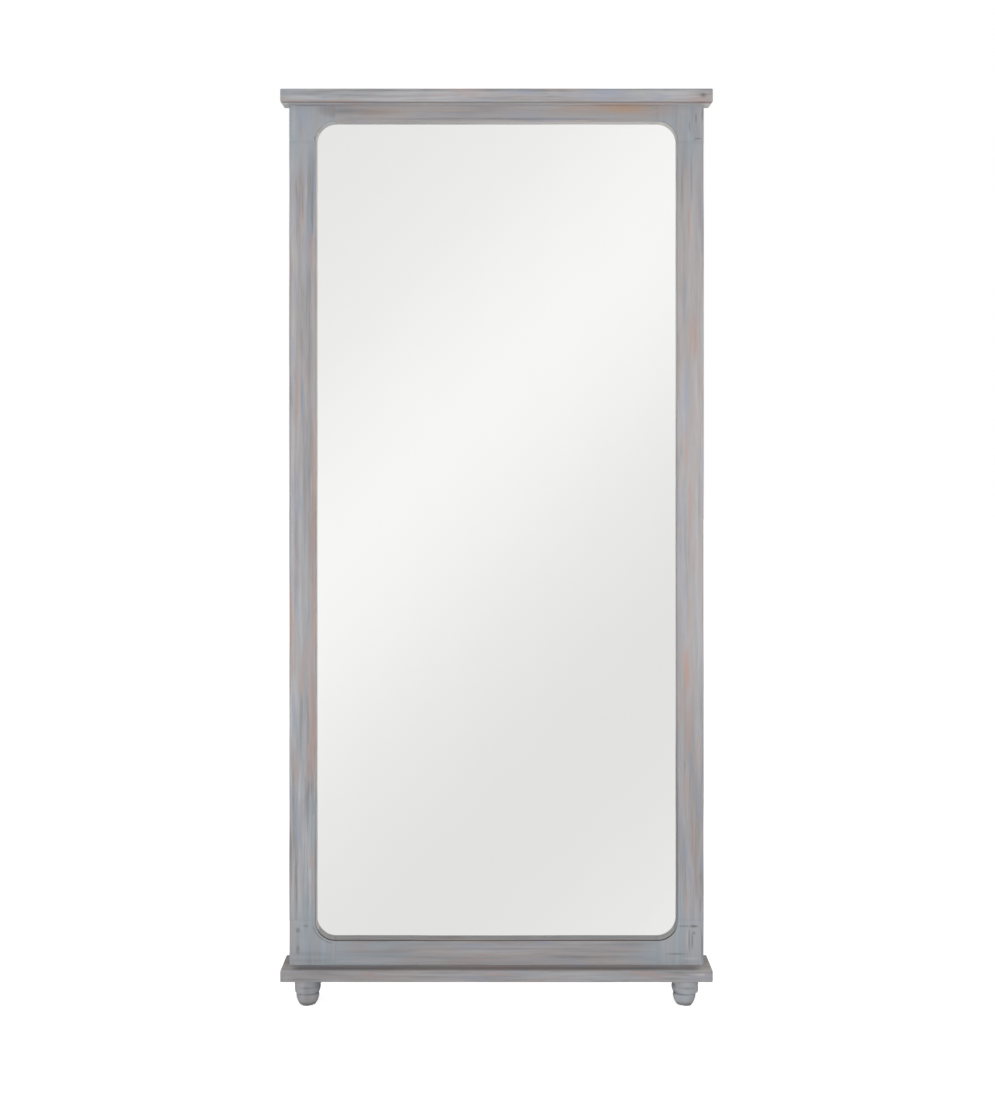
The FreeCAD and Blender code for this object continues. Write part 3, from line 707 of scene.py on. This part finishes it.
class MIRROR_OT_stiles(bpy.types.Operator):
    """Make both stiles, rebated behind and brushed upwards"""

    bl_idname = "floor_mirror.stiles"
    bl_label = "Stiles"
    bl_options = {"REGISTER", "UNDO"}

    def execute(self, context):
        for name, side in SIDES.items():
            piece = make_member(name + "_stile", Z, X, side * LIP_X, side * REBATE_X, seed=3 + side)
            dress(piece, washed_wood("washed_" + name + "_stile", Z, PLANKS[name], **STILE_WASH_AND_SHADE[name]))
        return {"FINISHED"}


class MIRROR_OT_rails(bpy.types.Operator):
    """Make both rails, rebated behind and brushed lengthways"""

    bl_idname = "floor_mirror.rails"
    bl_label = "Rails"
    bl_options = {"REGISTER", "UNDO"}

    def execute(self, context):
        for seed, (end, wash) in enumerate(RAIL_WASH_AND_SHADE.items()):
            piece = make_member(end + "_rail", X, Z, LIP_Z[end], REBATE_Z[end], seed=9 + seed)
            dress(piece, washed_wood("washed_" + end + "_rail", X, PLANKS[end], **wash))
        return {"FINISHED"}


def cut_away(piece, cutter):
    """Take the cutter's shape out of the piece, and remove the cutter."""
    modifier = piece.modifiers.new("cut", "BOOLEAN")
    modifier.operation = "DIFFERENCE"
    modifier.solver = "EXACT"
    modifier.object = cutter
    take_up(piece)
    bpy.ops.object.modifier_apply(modifier=modifier.name)
    bpy.data.objects.remove(cutter)


def make_corner(end, side_name, seed):
    """A corner block: the opening's round cut through it, and the rebate cut out behind."""
    sizes = settings("sizes")
    side = SIDES[side_name]
    up = 1 if end == "top" else -1
    node = end + "_" + side_name + "_corner"
    low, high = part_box(node)
    piece = add_block(node + "_wood", low, high)
    centre = Vector((side * ROUND_CENTRE_X, (low.y + high.y) / 2, LIP_Z[end] - up * OPENING_ROUND))
    leave_everything()
    bpy.ops.mesh.primitive_cylinder_add(
        vertices=ROUND_SIDES,
        radius=OPENING_ROUND,
        depth=2 * (high.y - low.y),
        location=centre,
        rotation=(math.pi / 2, 0, 0),
    )
    cut_away(piece, bpy.context.object)
    spare = sizes.board_round
    pocket_inner = (centre.x - side * spare, GLASS_Y, centre.z - up * spare)
    pocket_outer = (side * REBATE_X, high.y + spare, REBATE_Z[end])
    pocket = add_block(
        "pocket",
        [min(pair) for pair in zip(pocket_inner, pocket_outer)],
        [max(pair) for pair in zip(pocket_inner, pocket_outer)],
    )
    cut_away(piece, pocket)
    outer_x = high.x if side > 0 else low.x

    def on_round(edge):
        spot = middle(edge)
        span = math.hypot(spot.x - centre.x, spot.z - centre.z)
        return abs(spot.y - FACE_Y) < NEAR and abs(span - OPENING_ROUND) < 10 * NEAR

    bpy.ops.object.mode_set(mode="EDIT")
    round_edges(piece, sizes.lip_round, on_round)
    round_edges(piece, sizes.frame_round, lambda edge: on_outer_side(edge, outer_x))
    for axis in (X, Z):
        steps = round((high[axis] - low[axis]) / sizes.corner_pitch)
        for step in range(1, steps):
            cut_across(piece, axis, low[axis] + (high[axis] - low[axis]) * step / steps)
    bpy.ops.object.mode_set(mode="OBJECT")
    weather(piece, Z, seed, node)
    settle(piece, MIRROR_BODY, node)
    return piece


class MIRROR_OT_corners(bpy.types.Operator):
    """Make the four smooth corner blocks"""

    bl_idname = "floor_mirror.corners"
    bl_label = "Corner blocks"
    bl_options = {"REGISTER", "UNDO"}

    def execute(self, context):
        for seed, (corner, wash) in enumerate(CORNER_WASH_AND_SHADE.items()):
            end, side_name = corner.split("_")
            piece = make_corner(end, side_name, seed=20 + seed)
            name = "washed_" + corner + "_corner"
            dress(piece, washed_wood(name, Z, PLANKS[side_name], **wash))
        return {"FINISHED"}


def make_board(node, seed):
    """The cornice or the base: a long board with all its edges rounded."""
    sizes = settings("sizes")
    low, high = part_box(node)
    piece = add_block(node + "_wood", low, high)
    bpy.ops.object.mode_set(mode="EDIT")
    round_edges(piece, sizes.board_round, lambda edge: True)
    slice_piece(piece, X, sizes.along_pitch)
    slice_piece(piece, Y, sizes.across_pitch)
    slice_piece(piece, Z, sizes.across_pitch)
    bpy.ops.object.mode_set(mode="OBJECT")
    weather(piece, X, seed, node)
    settle(piece, MIRROR_BODY, node)
    return piece


class MIRROR_OT_boards(bpy.types.Operator):
    """Make the cornice and the base board"""

    bl_idname = "floor_mirror.boards"
    bl_label = "Cornice and base"
    bl_options = {"REGISTER", "UNDO"}

    def execute(self, context):
        for seed, (node, wash) in enumerate(BOARD_WASH_AND_SHADE.items()):
            piece = make_board(node, seed=30 + seed)
            dress(piece, washed_wood("washed_" + node, X, PLANKS[node], **wash))
        return {"FINISHED"}


# Turned profile of a foot, up from its underside: (share of the radius, share of the height)
FOOT_PROFILE = [
    (0.583, 0.000), (0.625, 0.010), (0.680, 0.045), (0.740, 0.095), (0.795, 0.150),
    (0.840, 0.205), (0.875, 0.260), (0.900, 0.310), (0.912, 0.350), (0.914, 0.385),
    (0.908, 0.415), (0.895, 0.440), (0.874, 0.454), (0.852, 0.460), (0.846, 0.468),
    (0.854, 0.478), (0.905, 0.485), (0.948, 0.493), (0.972, 0.510), (0.986, 0.540),
    (0.994, 0.600), (0.995, 0.670), (0.990, 0.728), (0.975, 0.738), (0.975, 0.744),
    (0.991, 0.754), (0.998, 0.790), (1.000, 0.840), (0.996, 0.885), (0.985, 0.930),
    (0.972, 0.965), (0.965, 1.000),
]
FOOT_STEPS = 72
# Heights of the foot's two grooves, in shares of its height
BUN_GROOVE, RING_GROOVE = 0.468, 0.741
# How far the bun of each foot sits off its ring's centre, and how much fuller it is
BUN_LEAN = {
    "front_left_foot": (0.0016, 0.045),
    "front_right_foot": (-0.0036, 0.03),
    "rear_left_foot": (0.0, 0.0),
    "rear_right_foot": (-0.0019, 0.0),
}


def make_foot(node, seed):
    """A turned foot: its half outline drawn point by point, spun round, and left a little uneven."""
    sizes = settings("sizes")
    low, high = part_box(node)
    centre = Vector(((low.x + high.x) / 2, (low.y + high.y) / 2, low.z))
    radius, height = (high.x - low.x) / 2, high.z - low.z
    leave_everything()
    bpy.ops.mesh.primitive_plane_add(size=radius, location=centre)
    piece = bpy.context.object
    piece.name = node + "_wood"
    apply_place()
    bpy.ops.object.mode_set(mode="EDIT")
    bpy.ops.mesh.select_mode(type="VERT")
    bpy.ops.mesh.select_all(action="SELECT")
    bpy.ops.mesh.merge(type="CENTER")
    reached = Vector((0, 0, 0))
    for radius_share, height_share in FOOT_PROFILE + [(0, 1)]:
        target = Vector((radius * radius_share, 0, height * height_share))
        bpy.ops.mesh.extrude_region_move(TRANSFORM_OT_translate={"value": target - reached})
        reached = target
    bpy.ops.mesh.select_all(action="SELECT")
    bpy.ops.mesh.spin(steps=FOOT_STEPS, angle=2 * math.pi, center=centre, axis=(0, 0, 1))
    bpy.ops.mesh.select_all(action="SELECT")
    bpy.ops.mesh.remove_doubles(threshold=1e-5)
    bpy.ops.mesh.normals_make_consistent(inside=False)
    bpy.ops.object.mode_set(mode="OBJECT")
    mesh = piece.data
    if len(mesh.polygons) < FOOT_STEPS * len(FOOT_PROFILE):
        raise RuntimeError("the foot's outline wasn't spun round")
    grain, worn, tint, grime = add_coats(mesh)
    for index, vertex in enumerate(mesh.vertices):
        away = vertex.co - centre
        away.z = 0
        share = (vertex.co.z - centre.z) / height
        wobble = noise.noise(vertex.co * 38 + Vector((seed, 0, 0)))
        tool = noise.noise(Vector((away.x * 30, away.y * 30, vertex.co.z * 420 + seed)))
        slump = 1 - smooth_step(share, 0.9, 1.0)
        bun = smooth_step(share, 0.49, 0.44)
        off_centre, fuller = BUN_LEAN[node]
        if 0 < share and away.length > radius * 0.3:
            inward = sizes.wear_depth * (0.25 + 0.4 * wobble) * slump
            inward += sizes.grain_depth * (0.5 - 0.5 * tool)
            vertex.co -= away.normalized() * inward
            vertex.co += away * fuller * bun
        vertex.co.x += off_centre * bun
        grain.data[index].value = 0.5 + 0.4 * tool
        worn.data[index].value = 0.15 * smooth_step(wobble, 0.2, 0.6)
        streaky = hump(share, 0.75, 0.07) * hump(away.x, 0, 0.7 * radius) * max(0.0, -away.y / radius)
        tint.data[index].value = 0.3 * wobble - 0.9 * streaky
        # Darker in the two grooves, and painted shade on the underside of the bun
        groove = max(0.0, 1 - abs(share - BUN_GROOVE) / 0.025)
        ring = max(0.0, 1 - abs(share - RING_GROOVE) / 0.015)
        grime.data[index].value = 0.15 * groove + 0.15 * ring + 0.45 * smooth_step(share, 0.20, 0.06)
    settle(piece, MIRROR_BODY, node)
    return piece


class MIRROR_OT_feet(bpy.types.Operator):
    """Make the four turned feet"""

    bl_idname = "floor_mirror.feet"
    bl_label = "Feet"
    bl_options = {"REGISTER", "UNDO"}

    def execute(self, context):
        for row in ("front", "rear"):
            for side_name in SIDES:
                node = row + "_" + side_name + "_foot"
                piece = make_foot(node, seed=len(bpy.data.objects))
                # This tone curve paints light towards each foot's edges and shade towards its middle
                tone = FOOT_TONE_AND_SHADING[side_name]
                dress(piece, washed_wood("washed_" + node, X, PLANKS["feet"], tone, coolness=0.5, calm=0.3))
        return {"FINISHED"}


# Finishes


def dress(piece, material):
    """Give an object one material all over."""
    piece.data.materials.clear()
    piece.data.materials.append(material)


class Wiring:
    """Shading nodes being wired together."""

    def __init__(self, tree):
        self.nodes, self.links = tree.nodes, tree.links

    def feed(self, socket, value):
        """Join a node's output to a socket, or set a plain value there."""
        if isinstance(value, bpy.types.NodeSocket):
            self.links.new(value, socket)
        elif hasattr(value, "__len__") and len(value) == 3 and socket.type == "RGBA":
            socket.default_value = (*value, 1)
        else:
            socket.default_value = value

    def add(self, kind, inputs=None, **choices):
        """Add a node, make its choices, and feed its inputs by name or number."""
        node = self.nodes.new("ShaderNode" + kind)
        for name, value in choices.items():
            setattr(node, name, value)
        for socket, value in (inputs or {}).items():
            self.feed(node.inputs[socket], value)
        return node

    def sum(self, operation, first, second, clamp=False):
        return self.add("Math", {0: first, 1: second}, operation=operation, use_clamp=clamp).outputs[0]

    def choose(self, share, first, second):
        """One shader or another, by the share."""
        return self.add("MixShader", {0: share, 1: first, 2: second}).outputs[0]


class Finish(Wiring):
    """A material being mixed, with short ways to add its nodes."""

    def __init__(self, name, roughness, metallic=0.0, specular=0.3):
        self.material = bpy.data.materials.new(name)
        self.material.use_nodes = True
        super().__init__(self.material.node_tree)
        self.shader = self.nodes["Principled BSDF"]
        levels = {"Roughness": roughness, "Metallic": metallic, "Specular IOR Level": specular}
        for name, level in levels.items():
            self.shader.inputs[name].default_value = level
        self.start = self.add("TexCoord").outputs["Object"]

    def place(self, rates=(1, 1, 1), shift=(0, 0, 0)):
        """The place on the object, stretched by a rate along each axis."""
        here = {"Vector": self.start, "Scale": rates, "Location": shift}
        return self.add("Mapping", here).outputs["Vector"]

    def wander(self, rates, shift, depth):
        """Bend every place asked for after this by a slow noise, so that streaks don't run dead straight."""
        slow = self.add("TexNoise", {"Vector": self.place(rates, shift), "Scale": 1})
        level = self.add("VectorMath", {0: slow.outputs["Color"], 1: (0.5, 0.5, 0.5)}, operation="SUBTRACT")
        steps = {0: level.outputs[0], 1: (depth, depth, depth), 2: self.start}
        self.start = self.add("VectorMath", steps, operation="MULTIPLY_ADD").outputs[0]

    def coordinate(self, axis):
        return self.add("SeparateXYZ", {"Vector": self.place()}).outputs[axis]

    def noise(self, vector, detail=2.0, roughness=0.5, distortion=0.0):
        levels = {"Scale": 1, "Detail": detail, "Roughness": roughness, "Distortion": distortion}
        return self.add("TexNoise", {"Vector": vector, **levels}).outputs["Fac"]

    def attribute(self, name):
        return self.add("Attribute", attribute_name=name).outputs["Fac"]

    def span(self, value, start, end, low=0.0, high=1.0):
        """Value moved smoothly from the range start to end to the range low to high."""
        ranges = {"Value": value, "From Min": start, "From Max": end, "To Min": low, "To Max": high}
        return self.add("MapRange", ranges, interpolation_type="SMOOTHSTEP").outputs["Result"]

    def curve(self, value, points):
        """Value turned into a smooth curve through points of (place, level), or a plain number kept."""
        if isinstance(points, (int, float)):
            return points
        result = points[0][1]
        for (start, low), (end, high) in zip(points, points[1:]):
            result = self.sum("ADD", self.span(value, start, end, 0, high - low), result)
        return result

    def mix(self, share, first, second, blend="MIX"):
        return self.add("Mix", {0: share, 6: first, 7: second}, data_type="RGBA", blend_type=blend).outputs[2]

    def bump(self, height, distance, strength=1.0):
        relief = self.add("Bump", {"Height": height, "Distance": distance, "Strength": strength})
        self.feed(self.shader.inputs["Normal"], relief.outputs["Normal"])

    def colour(self, value):
        self.feed(self.shader.inputs["Base Color"], value)

    def rough(self, value):
        self.feed(self.shader.inputs["Roughness"], value)


def washed_wood(name, along, plank, tone=1.0, coolness=0.3, calm=1.0, rubbed="rubbed_wood"):
    """Lime wash over brushed wood: cool and warm greys, pale and dark streaks, brown where it is rubbed.

    Tone, coolness and calm are plain numbers or curves of (place along the grain, level); tone is partly
    painted shade, and the vertex tint and dark wax also carry painted light and shade. Pieces with the
    same plank number share their streaks, which run on across the joint.
    """
    colours = settings("colours")
    finish = Finish(name, roughness=0.7, specular=0.25)
    shift = (plank * 0.37, plank * 0.53, plank * 0.29)
    spot = finish.coordinate(along)
    tone, coolness, calm = (finish.curve(spot, level) for level in (tone, coolness, calm))
    finish.wander(grain_rates(along, 28, 7), shift, depth=0.012)

    def drawn(across, length, detail=2.0, distortion=0.0):
        return finish.noise(finish.place(grain_rates(along, across, length), shift), detail, 0.55, distortion)

    def swing(noise_value, strength):
        return finish.sum("MULTIPLY", finish.sum("SUBTRACT", noise_value, 0.5), strength)

    liveliness = finish.sum("ADD", finish.sum("MULTIPLY", calm, 0.5), 0.5)
    drift = finish.sum("MULTIPLY", swing(drawn(45, 2.0), 2.3), liveliness)
    wash = finish.mix(
        finish.sum("ADD", coolness, drift, clamp=True), colours.warm_wash[:], colours.cool_wash[:]
    )
    fine = drawn(370, 6.5, detail=3, distortion=0.25)
    streak = finish.sum("ADD", swing(drawn(80, 4.5, detail=3, distortion=0.2), 2.4), swing(fine, 1.25))
    # The vertex tint: paler or darker wash, with painted light and shade on the opening's walls and the
    # boards
    tint = finish.sum("MULTIPLY", finish.attribute("tint"), 0.8)
    streak = finish.sum("ADD", finish.sum("MULTIPLY", streak, calm), tint)
    wash = finish.mix(finish.sum("MULTIPLY", streak, 1, clamp=True), wash, colours.pale_wash_and_light[:])
    wash = finish.mix(finish.sum("MULTIPLY", streak, -1, clamp=True), wash, colours.deep_wash[:])
    # Tint above 1 mixes in near-white: mostly painted light on the walls and boards, and the strongest pale
    # marks
    thick = finish.sum("SUBTRACT", finish.attribute("tint"), 1, clamp=True)
    wash = finish.mix(thick, wash, colours.chalk_and_light[:])
    hue = drawn(62, 9)
    hues = (0.54, 0.70, 0.6, colours.pink_wood), (0.46, 0.30, 0.33, colours.blue_wash)
    for start, end, most, colour in hues:
        share = finish.sum("MULTIPLY", finish.span(hue, start, end, 0, most), calm)
        wash = finish.mix(share, wash, colour[:])
    worn = finish.attribute("worn")
    rub_noise = drawn(140, 6, detail=3)
    brown = finish.sum("MULTIPLY", worn, finish.span(rub_noise, 0.3, 0.6, 0.75, 1.05), clamp=True)
    scattered = finish.sum("MULTIPLY", finish.span(rub_noise, 0.64, 0.80, 0, 0.25), calm)
    wash = finish.mix(finish.sum("MAXIMUM", brown, scattered), wash, getattr(colours, rubbed)[:])
    wash = finish.mix(finish.sum("MULTIPLY", worn, -0.8, clamp=True), wash, colours.blue_wash[:])
    lines = drawn(520, 8, detail=4, distortion=0.6)
    crack = finish.sum("MULTIPLY", finish.span(lines, 0.37, 0.27, 0, 0.25), calm)
    # Crack lines and the vertex dark wax: wax lines, and painted shade along the lip, under the cornice's
    # edge, on the base in front of the frame and on the feet
    wash = finish.mix(finish.sum("MAXIMUM", crack, finish.attribute("grime")), wash, colours.crack[:])
    # Tone multiplies the colour: partly the wash's own paleness and partly painted shade, and on the feet
    # painted light and shade across each foot
    level = finish.add("CombineColor", {"Red": tone, "Green": tone, "Blue": tone})
    finish.colour(finish.mix(1.0, wash, level.outputs[0], blend="MULTIPLY"))
    finish.rough(finish.span(fine, 0.3, 0.7, 0.82, 0.62))
    relief = finish.sum("ADD", fine, finish.sum("MULTIPLY", lines, 0.6))
    finish.bump(relief, distance=0.0003, strength=0.4)
    return finish.material


def silvered_glass():
    """Silver seen through clear glass, with the faintest trace of wiping."""
    finish = Finish("silvered_glass", roughness=0.012, metallic=1.0, specular=0.5)
    wiping = finish.noise(finish.place((9, 9, 3)), detail=3)
    finish.colour(finish.mix(wiping, (0.92, 0.92, 0.92), (0.94, 0.94, 0.94)))
    finish.rough(finish.span(wiping, 0.3, 0.7, 0.008, 0.02))
    return finish.material


def raw_hardboard():
    """Brown pressed fibre with a fine screen pattern."""
    finish = Finish("raw_hardboard", roughness=0.85, specular=0.2)
    fibres = finish.noise(finish.place((260, 260, 260)), detail=5)
    clouds = finish.noise(finish.place((6, 6, 6)), detail=3)
    base = finish.mix(finish.span(fibres, 0.35, 0.65), shade(104, 74, 50), shade(138, 101, 70))
    finish.colour(finish.mix(finish.span(clouds, 0.35, 0.7, 0, 0.35), base, shade(92, 66, 46)))
    screen = finish.add("TexVoronoi", {"Vector": finish.place(), "Scale": 620, "Randomness": 0.15})
    finish.bump(finish.sum("ADD", screen.outputs["Distance"], fibres), distance=0.0003, strength=0.5)
    return finish.material


def planed_softwood(name, along):
    """Raw pine: pale early wood, darker rings drawn along the strip."""
    finish = Finish(name, roughness=0.65, specular=0.25)
    rings = finish.noise(finish.place(grain_rates(along, 300, 4)), detail=4, distortion=0.4)
    flecks = finish.noise(finish.place(grain_rates(along, 900, 30)), detail=2)
    base = finish.mix(finish.span(rings, 0.35, 0.65), shade(170, 128, 86), shade(206, 170, 124))
    finish.colour(finish.mix(finish.span(flecks, 0.6, 0.8, 0, 0.4), base, shade(140, 100, 64)))
    finish.rough(finish.span(rings, 0.3, 0.7, 0.58, 0.72))
    finish.bump(rings, distance=0.0002, strength=0.4)
    return finish.material


def metal(name, dull, bright, roughness):
    """Plated or turned metal with a little tarnish and fine scratches."""
    finish = Finish(name, roughness=roughness, metallic=1.0, specular=0.5)
    tarnish = finish.noise(finish.place((130, 130, 130)), detail=4)
    scratches = finish.noise(finish.place((1500, 1500, 120)), detail=2)
    finish.colour(finish.mix(finish.span(tarnish, 0.35, 0.65), dull, bright))
    finish.rough(finish.span(tarnish, 0.3, 0.7, roughness + 0.12, roughness - 0.06))
    finish.bump(scratches, distance=0.00005, strength=0.4)
    return finish.material


def soft_stuff(name, dark, light, grit_per_metre):
    """Felt or rubber: a dull surface with a fine nap."""
    finish = Finish(name, roughness=0.9, specular=0.2)
    nap = finish.noise(finish.place((grit_per_metre,) * 3), detail=4)
    finish.colour(finish.mix(finish.span(nap, 0.35, 0.65), dark, light))
    finish.bump(nap, distance=0.0003, strength=0.6)
    return finish.material


class MIRROR_OT_glass(bpy.types.Operator):
    """Finish the glass, its backing, and the strips and blocks that hold it"""

    bl_idname = "floor_mirror.glass"
    bl_label = "Glass and backing"
    bl_options = {"REGISTER", "UNDO"}

    def execute(self, context):
        nodes = frame["nodes"]
        dress(nodes["mirror_glass"], silvered_glass())
        dress(nodes["backing_board"], raw_hardboard())
        dress(nodes["setting_blocks"], soft_stuff("black_rubber", shade(38, 38, 38), shade(52, 52, 52), 500))
        upright = planed_softwood("softwood_upright", Z)
        level = planed_softwood("softwood_level", X)
        for name in ("left_strip", "right_strip", "cornice_dowels", "frame_dowels"):
            dress(nodes[name], upright)
        for name in ("top_strip", "bottom_strip"):
            dress(nodes[name], level)
        return {"FINISHED"}


class MIRROR_OT_fittings(bpy.types.Operator):
    """Finish the screws, bolts, inserts, pads, wall straps and rings"""

    bl_idname = "floor_mirror.fittings"
    bl_label = "Fittings"
    bl_options = {"REGISTER", "UNDO"}

    def execute(self, context):
        nodes = frame["nodes"]
        zinc = metal("zinc_plate", shade(168, 170, 172), shade(205, 207, 210), 0.32)
        brass = metal("turned_brass", shade(176, 140, 82), shade(214, 178, 110), 0.3)
        felt = soft_stuff("dark_felt", shade(58, 52, 48), shade(84, 77, 70), 900)
        for name in ("base_screws", "strip_screws", "hanger_screws", "foot_bolts"):
            dress(nodes[name], zinc)
        for side_name in SIDES:
            dress(nodes[side_name + "_hanger_plate"], zinc)
            dress(nodes[side_name + "_hanger_ring"], zinc)
        dress(nodes["foot_inserts"], brass)
        dress(nodes["foot_pads"], felt)
        return {"FINISHED"}


# Stage

# The room that the glass reflects: a soft bright band, rising to the right, between two dimmer
# sides, as (distance across the band in shares of the view's depth, tone seen in the glass, 0 to 255)
ROOM_BAND = [
    (-0.24, 223),
    (-0.08, 236),
    (0.00, 251),
    (0.08, 233),
    (0.17, 222),
    (0.25, 233),
]
BAND_LIMIT = 0.26
BAND_SCALE = 0.69
BAND_SHIFT = 0.012
# Share of the light that the silver sends back
GLASS_SHARE = 0.93
# Nearest to edge-on that the view's depth counts
LEAST_DEPTH = 0.05
# How brightly the floor glows to the camera, so that it is white there without lighting the mirror
FLOOR_GLOW = 0.78
FLOOR_SIZE, FLOOR_CELLS = 40, 12
CAMERA_SHIFT = (0.0009, -0.1058)
# The softboxes, as (place, width, height), all pointing at the middle of the mirror
LAMP_AIM = (0, 0, 0.9)
SOFTBOXES = {
    "front": ((0, -4.4, 1.1), 5.0, 3.0),
    "low": ((0, -2.2, 0.15), 3.0, 0.5),
    "back": ((0, 4.4, 1.1), 5.0, 3.0),
}


def make_floor():
    leave_everything()
    bpy.ops.mesh.primitive_grid_add(x_subdivisions=FLOOR_CELLS, y_subdivisions=FLOOR_CELLS, size=FLOOR_SIZE)
    floor = bpy.context.object
    floor.name = "pale_floor"
    floor.location = (0, 0, FLOOR_Z)
    apply_place()
    floor.visible_glossy = False
    finish = Finish("pale_floor", roughness=0.9, specular=0.0)
    finish.colour((0.85, 0.85, 0.85))
    plain = finish.shader.outputs[0]
    glow = finish.add("Emission", {"Strength": FLOOR_GLOW}).outputs[0]
    glowing = finish.add("AddShader", {0: plain, 1: glow}).outputs[0]
    seen = finish.add("LightPath").outputs["Is Camera Ray"]
    finish.feed(finish.nodes["Material Output"].inputs["Surface"], finish.choose(seen, plain, glowing))
    dress(floor, finish.material)


def make_room():
    """Plain white to the camera, a soft diagonal band to the glass, and an even light for the rest."""
    world = bpy.data.worlds.new("pale_room")
    bpy.context.scene.world = world
    world.use_nodes = True
    world.node_tree.nodes.clear()
    room = Wiring(world.node_tree)

    def background(strength, colour=(1, 1, 1)):
        return room.add("Background", {"Color": colour, "Strength": strength}).outputs[0]

    direction = room.add("TexCoord").outputs["Generated"]
    parts = room.add("SeparateXYZ", {0: direction}).outputs
    depth = room.sum("MAXIMUM", room.sum("ABSOLUTE", parts[Y], 0), LEAST_DEPTH)
    slopes = [room.sum("DIVIDE", parts[axis], depth) for axis in (X, Z)]
    aside, above = (room.sum("MULTIPLY", slope, BAND_SCALE) for slope in slopes)
    distance = room.sum("ADD", room.sum("SUBTRACT", aside, above), BAND_SHIFT)
    across = room.sum("ADD", room.sum("DIVIDE", distance, 2 * BAND_LIMIT), 0.5)
    ramp = room.add("ValToRGB", {0: across})
    ramp.color_ramp.interpolation = "B_SPLINE"
    stops = ramp.color_ramp.elements
    while len(stops) < len(ROOM_BAND):
        stops.new(0.5)
    for stop, (place, tone) in zip(stops, ROOM_BAND):
        stop.position = 0.5 + place / (2 * BAND_LIMIT)
        stop.color = (*shade(tone, tone, tone - 1), 1)
    path = room.add("LightPath").outputs
    lit = background(settings("stage").room_light)
    reflected = background(1 / GLASS_SHARE, ramp.outputs[0])
    seen = room.sum("MAXIMUM", path["Is Camera Ray"], path["Is Transmission Ray"])
    result = room.choose(path["Is Glossy Ray"], lit, reflected)
    result = room.choose(seen, result, background(1.0))
    room.add("OutputWorld", {"Surface": result})


def add_softbox(name, place, width, height, power):
    """A large soft lamp that glass and metal don't show."""
    data = bpy.data.lights.new(name, "AREA")
    data.shape = "RECTANGLE"
    data.size, data.size_y = width, height
    data.energy = power
    lamp = bpy.data.objects.new(name, data)
    bpy.context.scene.collection.objects.link(lamp)
    lamp.location = place
    lamp.rotation_euler = (Vector(LAMP_AIM) - Vector(place)).to_track_quat("-Z", "Y").to_euler()
    lamp.visible_glossy = False
    lamp.visible_camera = False


def add_camera():
    stage = settings("stage")
    data = bpy.data.cameras.new("front_camera")
    data.lens = stage.lens
    data.shift_x, data.shift_y = CAMERA_SHIFT
    camera = bpy.data.objects.new("front_camera", data)
    bpy.context.scene.collection.objects.link(camera)
    front_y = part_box("base_board")[0].y
    camera.location = (0, front_y - stage.camera_distance, stage.camera_height)
    camera.rotation_euler = (math.pi / 2, 0, 0)
    bpy.context.scene.camera = camera


class MIRROR_OT_stage(bpy.types.Operator):
    """Set up the pale floor, the room that the glass shows, the lamps and the camera"""

    bl_idname = "floor_mirror.stage"
    bl_label = "Stage"
    bl_options = {"REGISTER", "UNDO"}

    def execute(self, context):
        stage = settings("stage")
        make_floor()
        make_room()
        for name, (place, width, height) in SOFTBOXES.items():
            add_softbox(name + "_softbox", place, width, height, getattr(stage, name + "_light"))
        add_camera()
        bpy.context.scene.view_settings.view_transform = "Standard"
        return {"FINISHED"}


OPERATORS = [
    MIRROR_OT_stiles,
    MIRROR_OT_rails,
    MIRROR_OT_corners,
    MIRROR_OT_boards,
    MIRROR_OT_feet,
    MIRROR_OT_glass,
    MIRROR_OT_fittings,
    MIRROR_OT_stage,
]


class MIRROR_PT_panel(bpy.types.Panel):
    """Lists the operators that dress the mirror"""

    bl_idname = "MIRROR_PT_panel"
    bl_label = "Floor mirror"
    bl_space_type = "VIEW_3D"
    bl_region_type = "UI"
    bl_category = "Mirror"

    def draw(self, context):
        for operator in OPERATORS:
            self.layout.operator(operator.bl_idname)
        for kind in SETTINGS:
            group = settings(kind)
            box = self.layout.box()
            for name in group.__annotations__:
                box.prop(group, name)


SETTINGS = {"sizes": MirrorSizes, "colours": MirrorColours, "stage": StageSettings}


def register():
    for group in SETTINGS.values():
        bpy.utils.register_class(group)
    for kind, group in SETTINGS.items():
        setattr(bpy.types.Scene, "floor_mirror_" + kind, PointerProperty(type=group))
    for operator in OPERATORS:
        bpy.utils.register_class(operator)
    bpy.utils.register_class(MIRROR_PT_panel)


def unregister():
    bpy.utils.unregister_class(MIRROR_PT_panel)
    for operator in reversed(OPERATORS):
        bpy.utils.unregister_class(operator)
    for kind, group in SETTINGS.items():
        delattr(bpy.types.Scene, "floor_mirror_" + kind)
        bpy.utils.unregister_class(group)


def main():
    register()
    for operator in OPERATORS:
        family, name = operator.bl_idname.split(".")
        getattr(getattr(bpy.ops, family), name)()


if __name__ == "__main__":
    main()
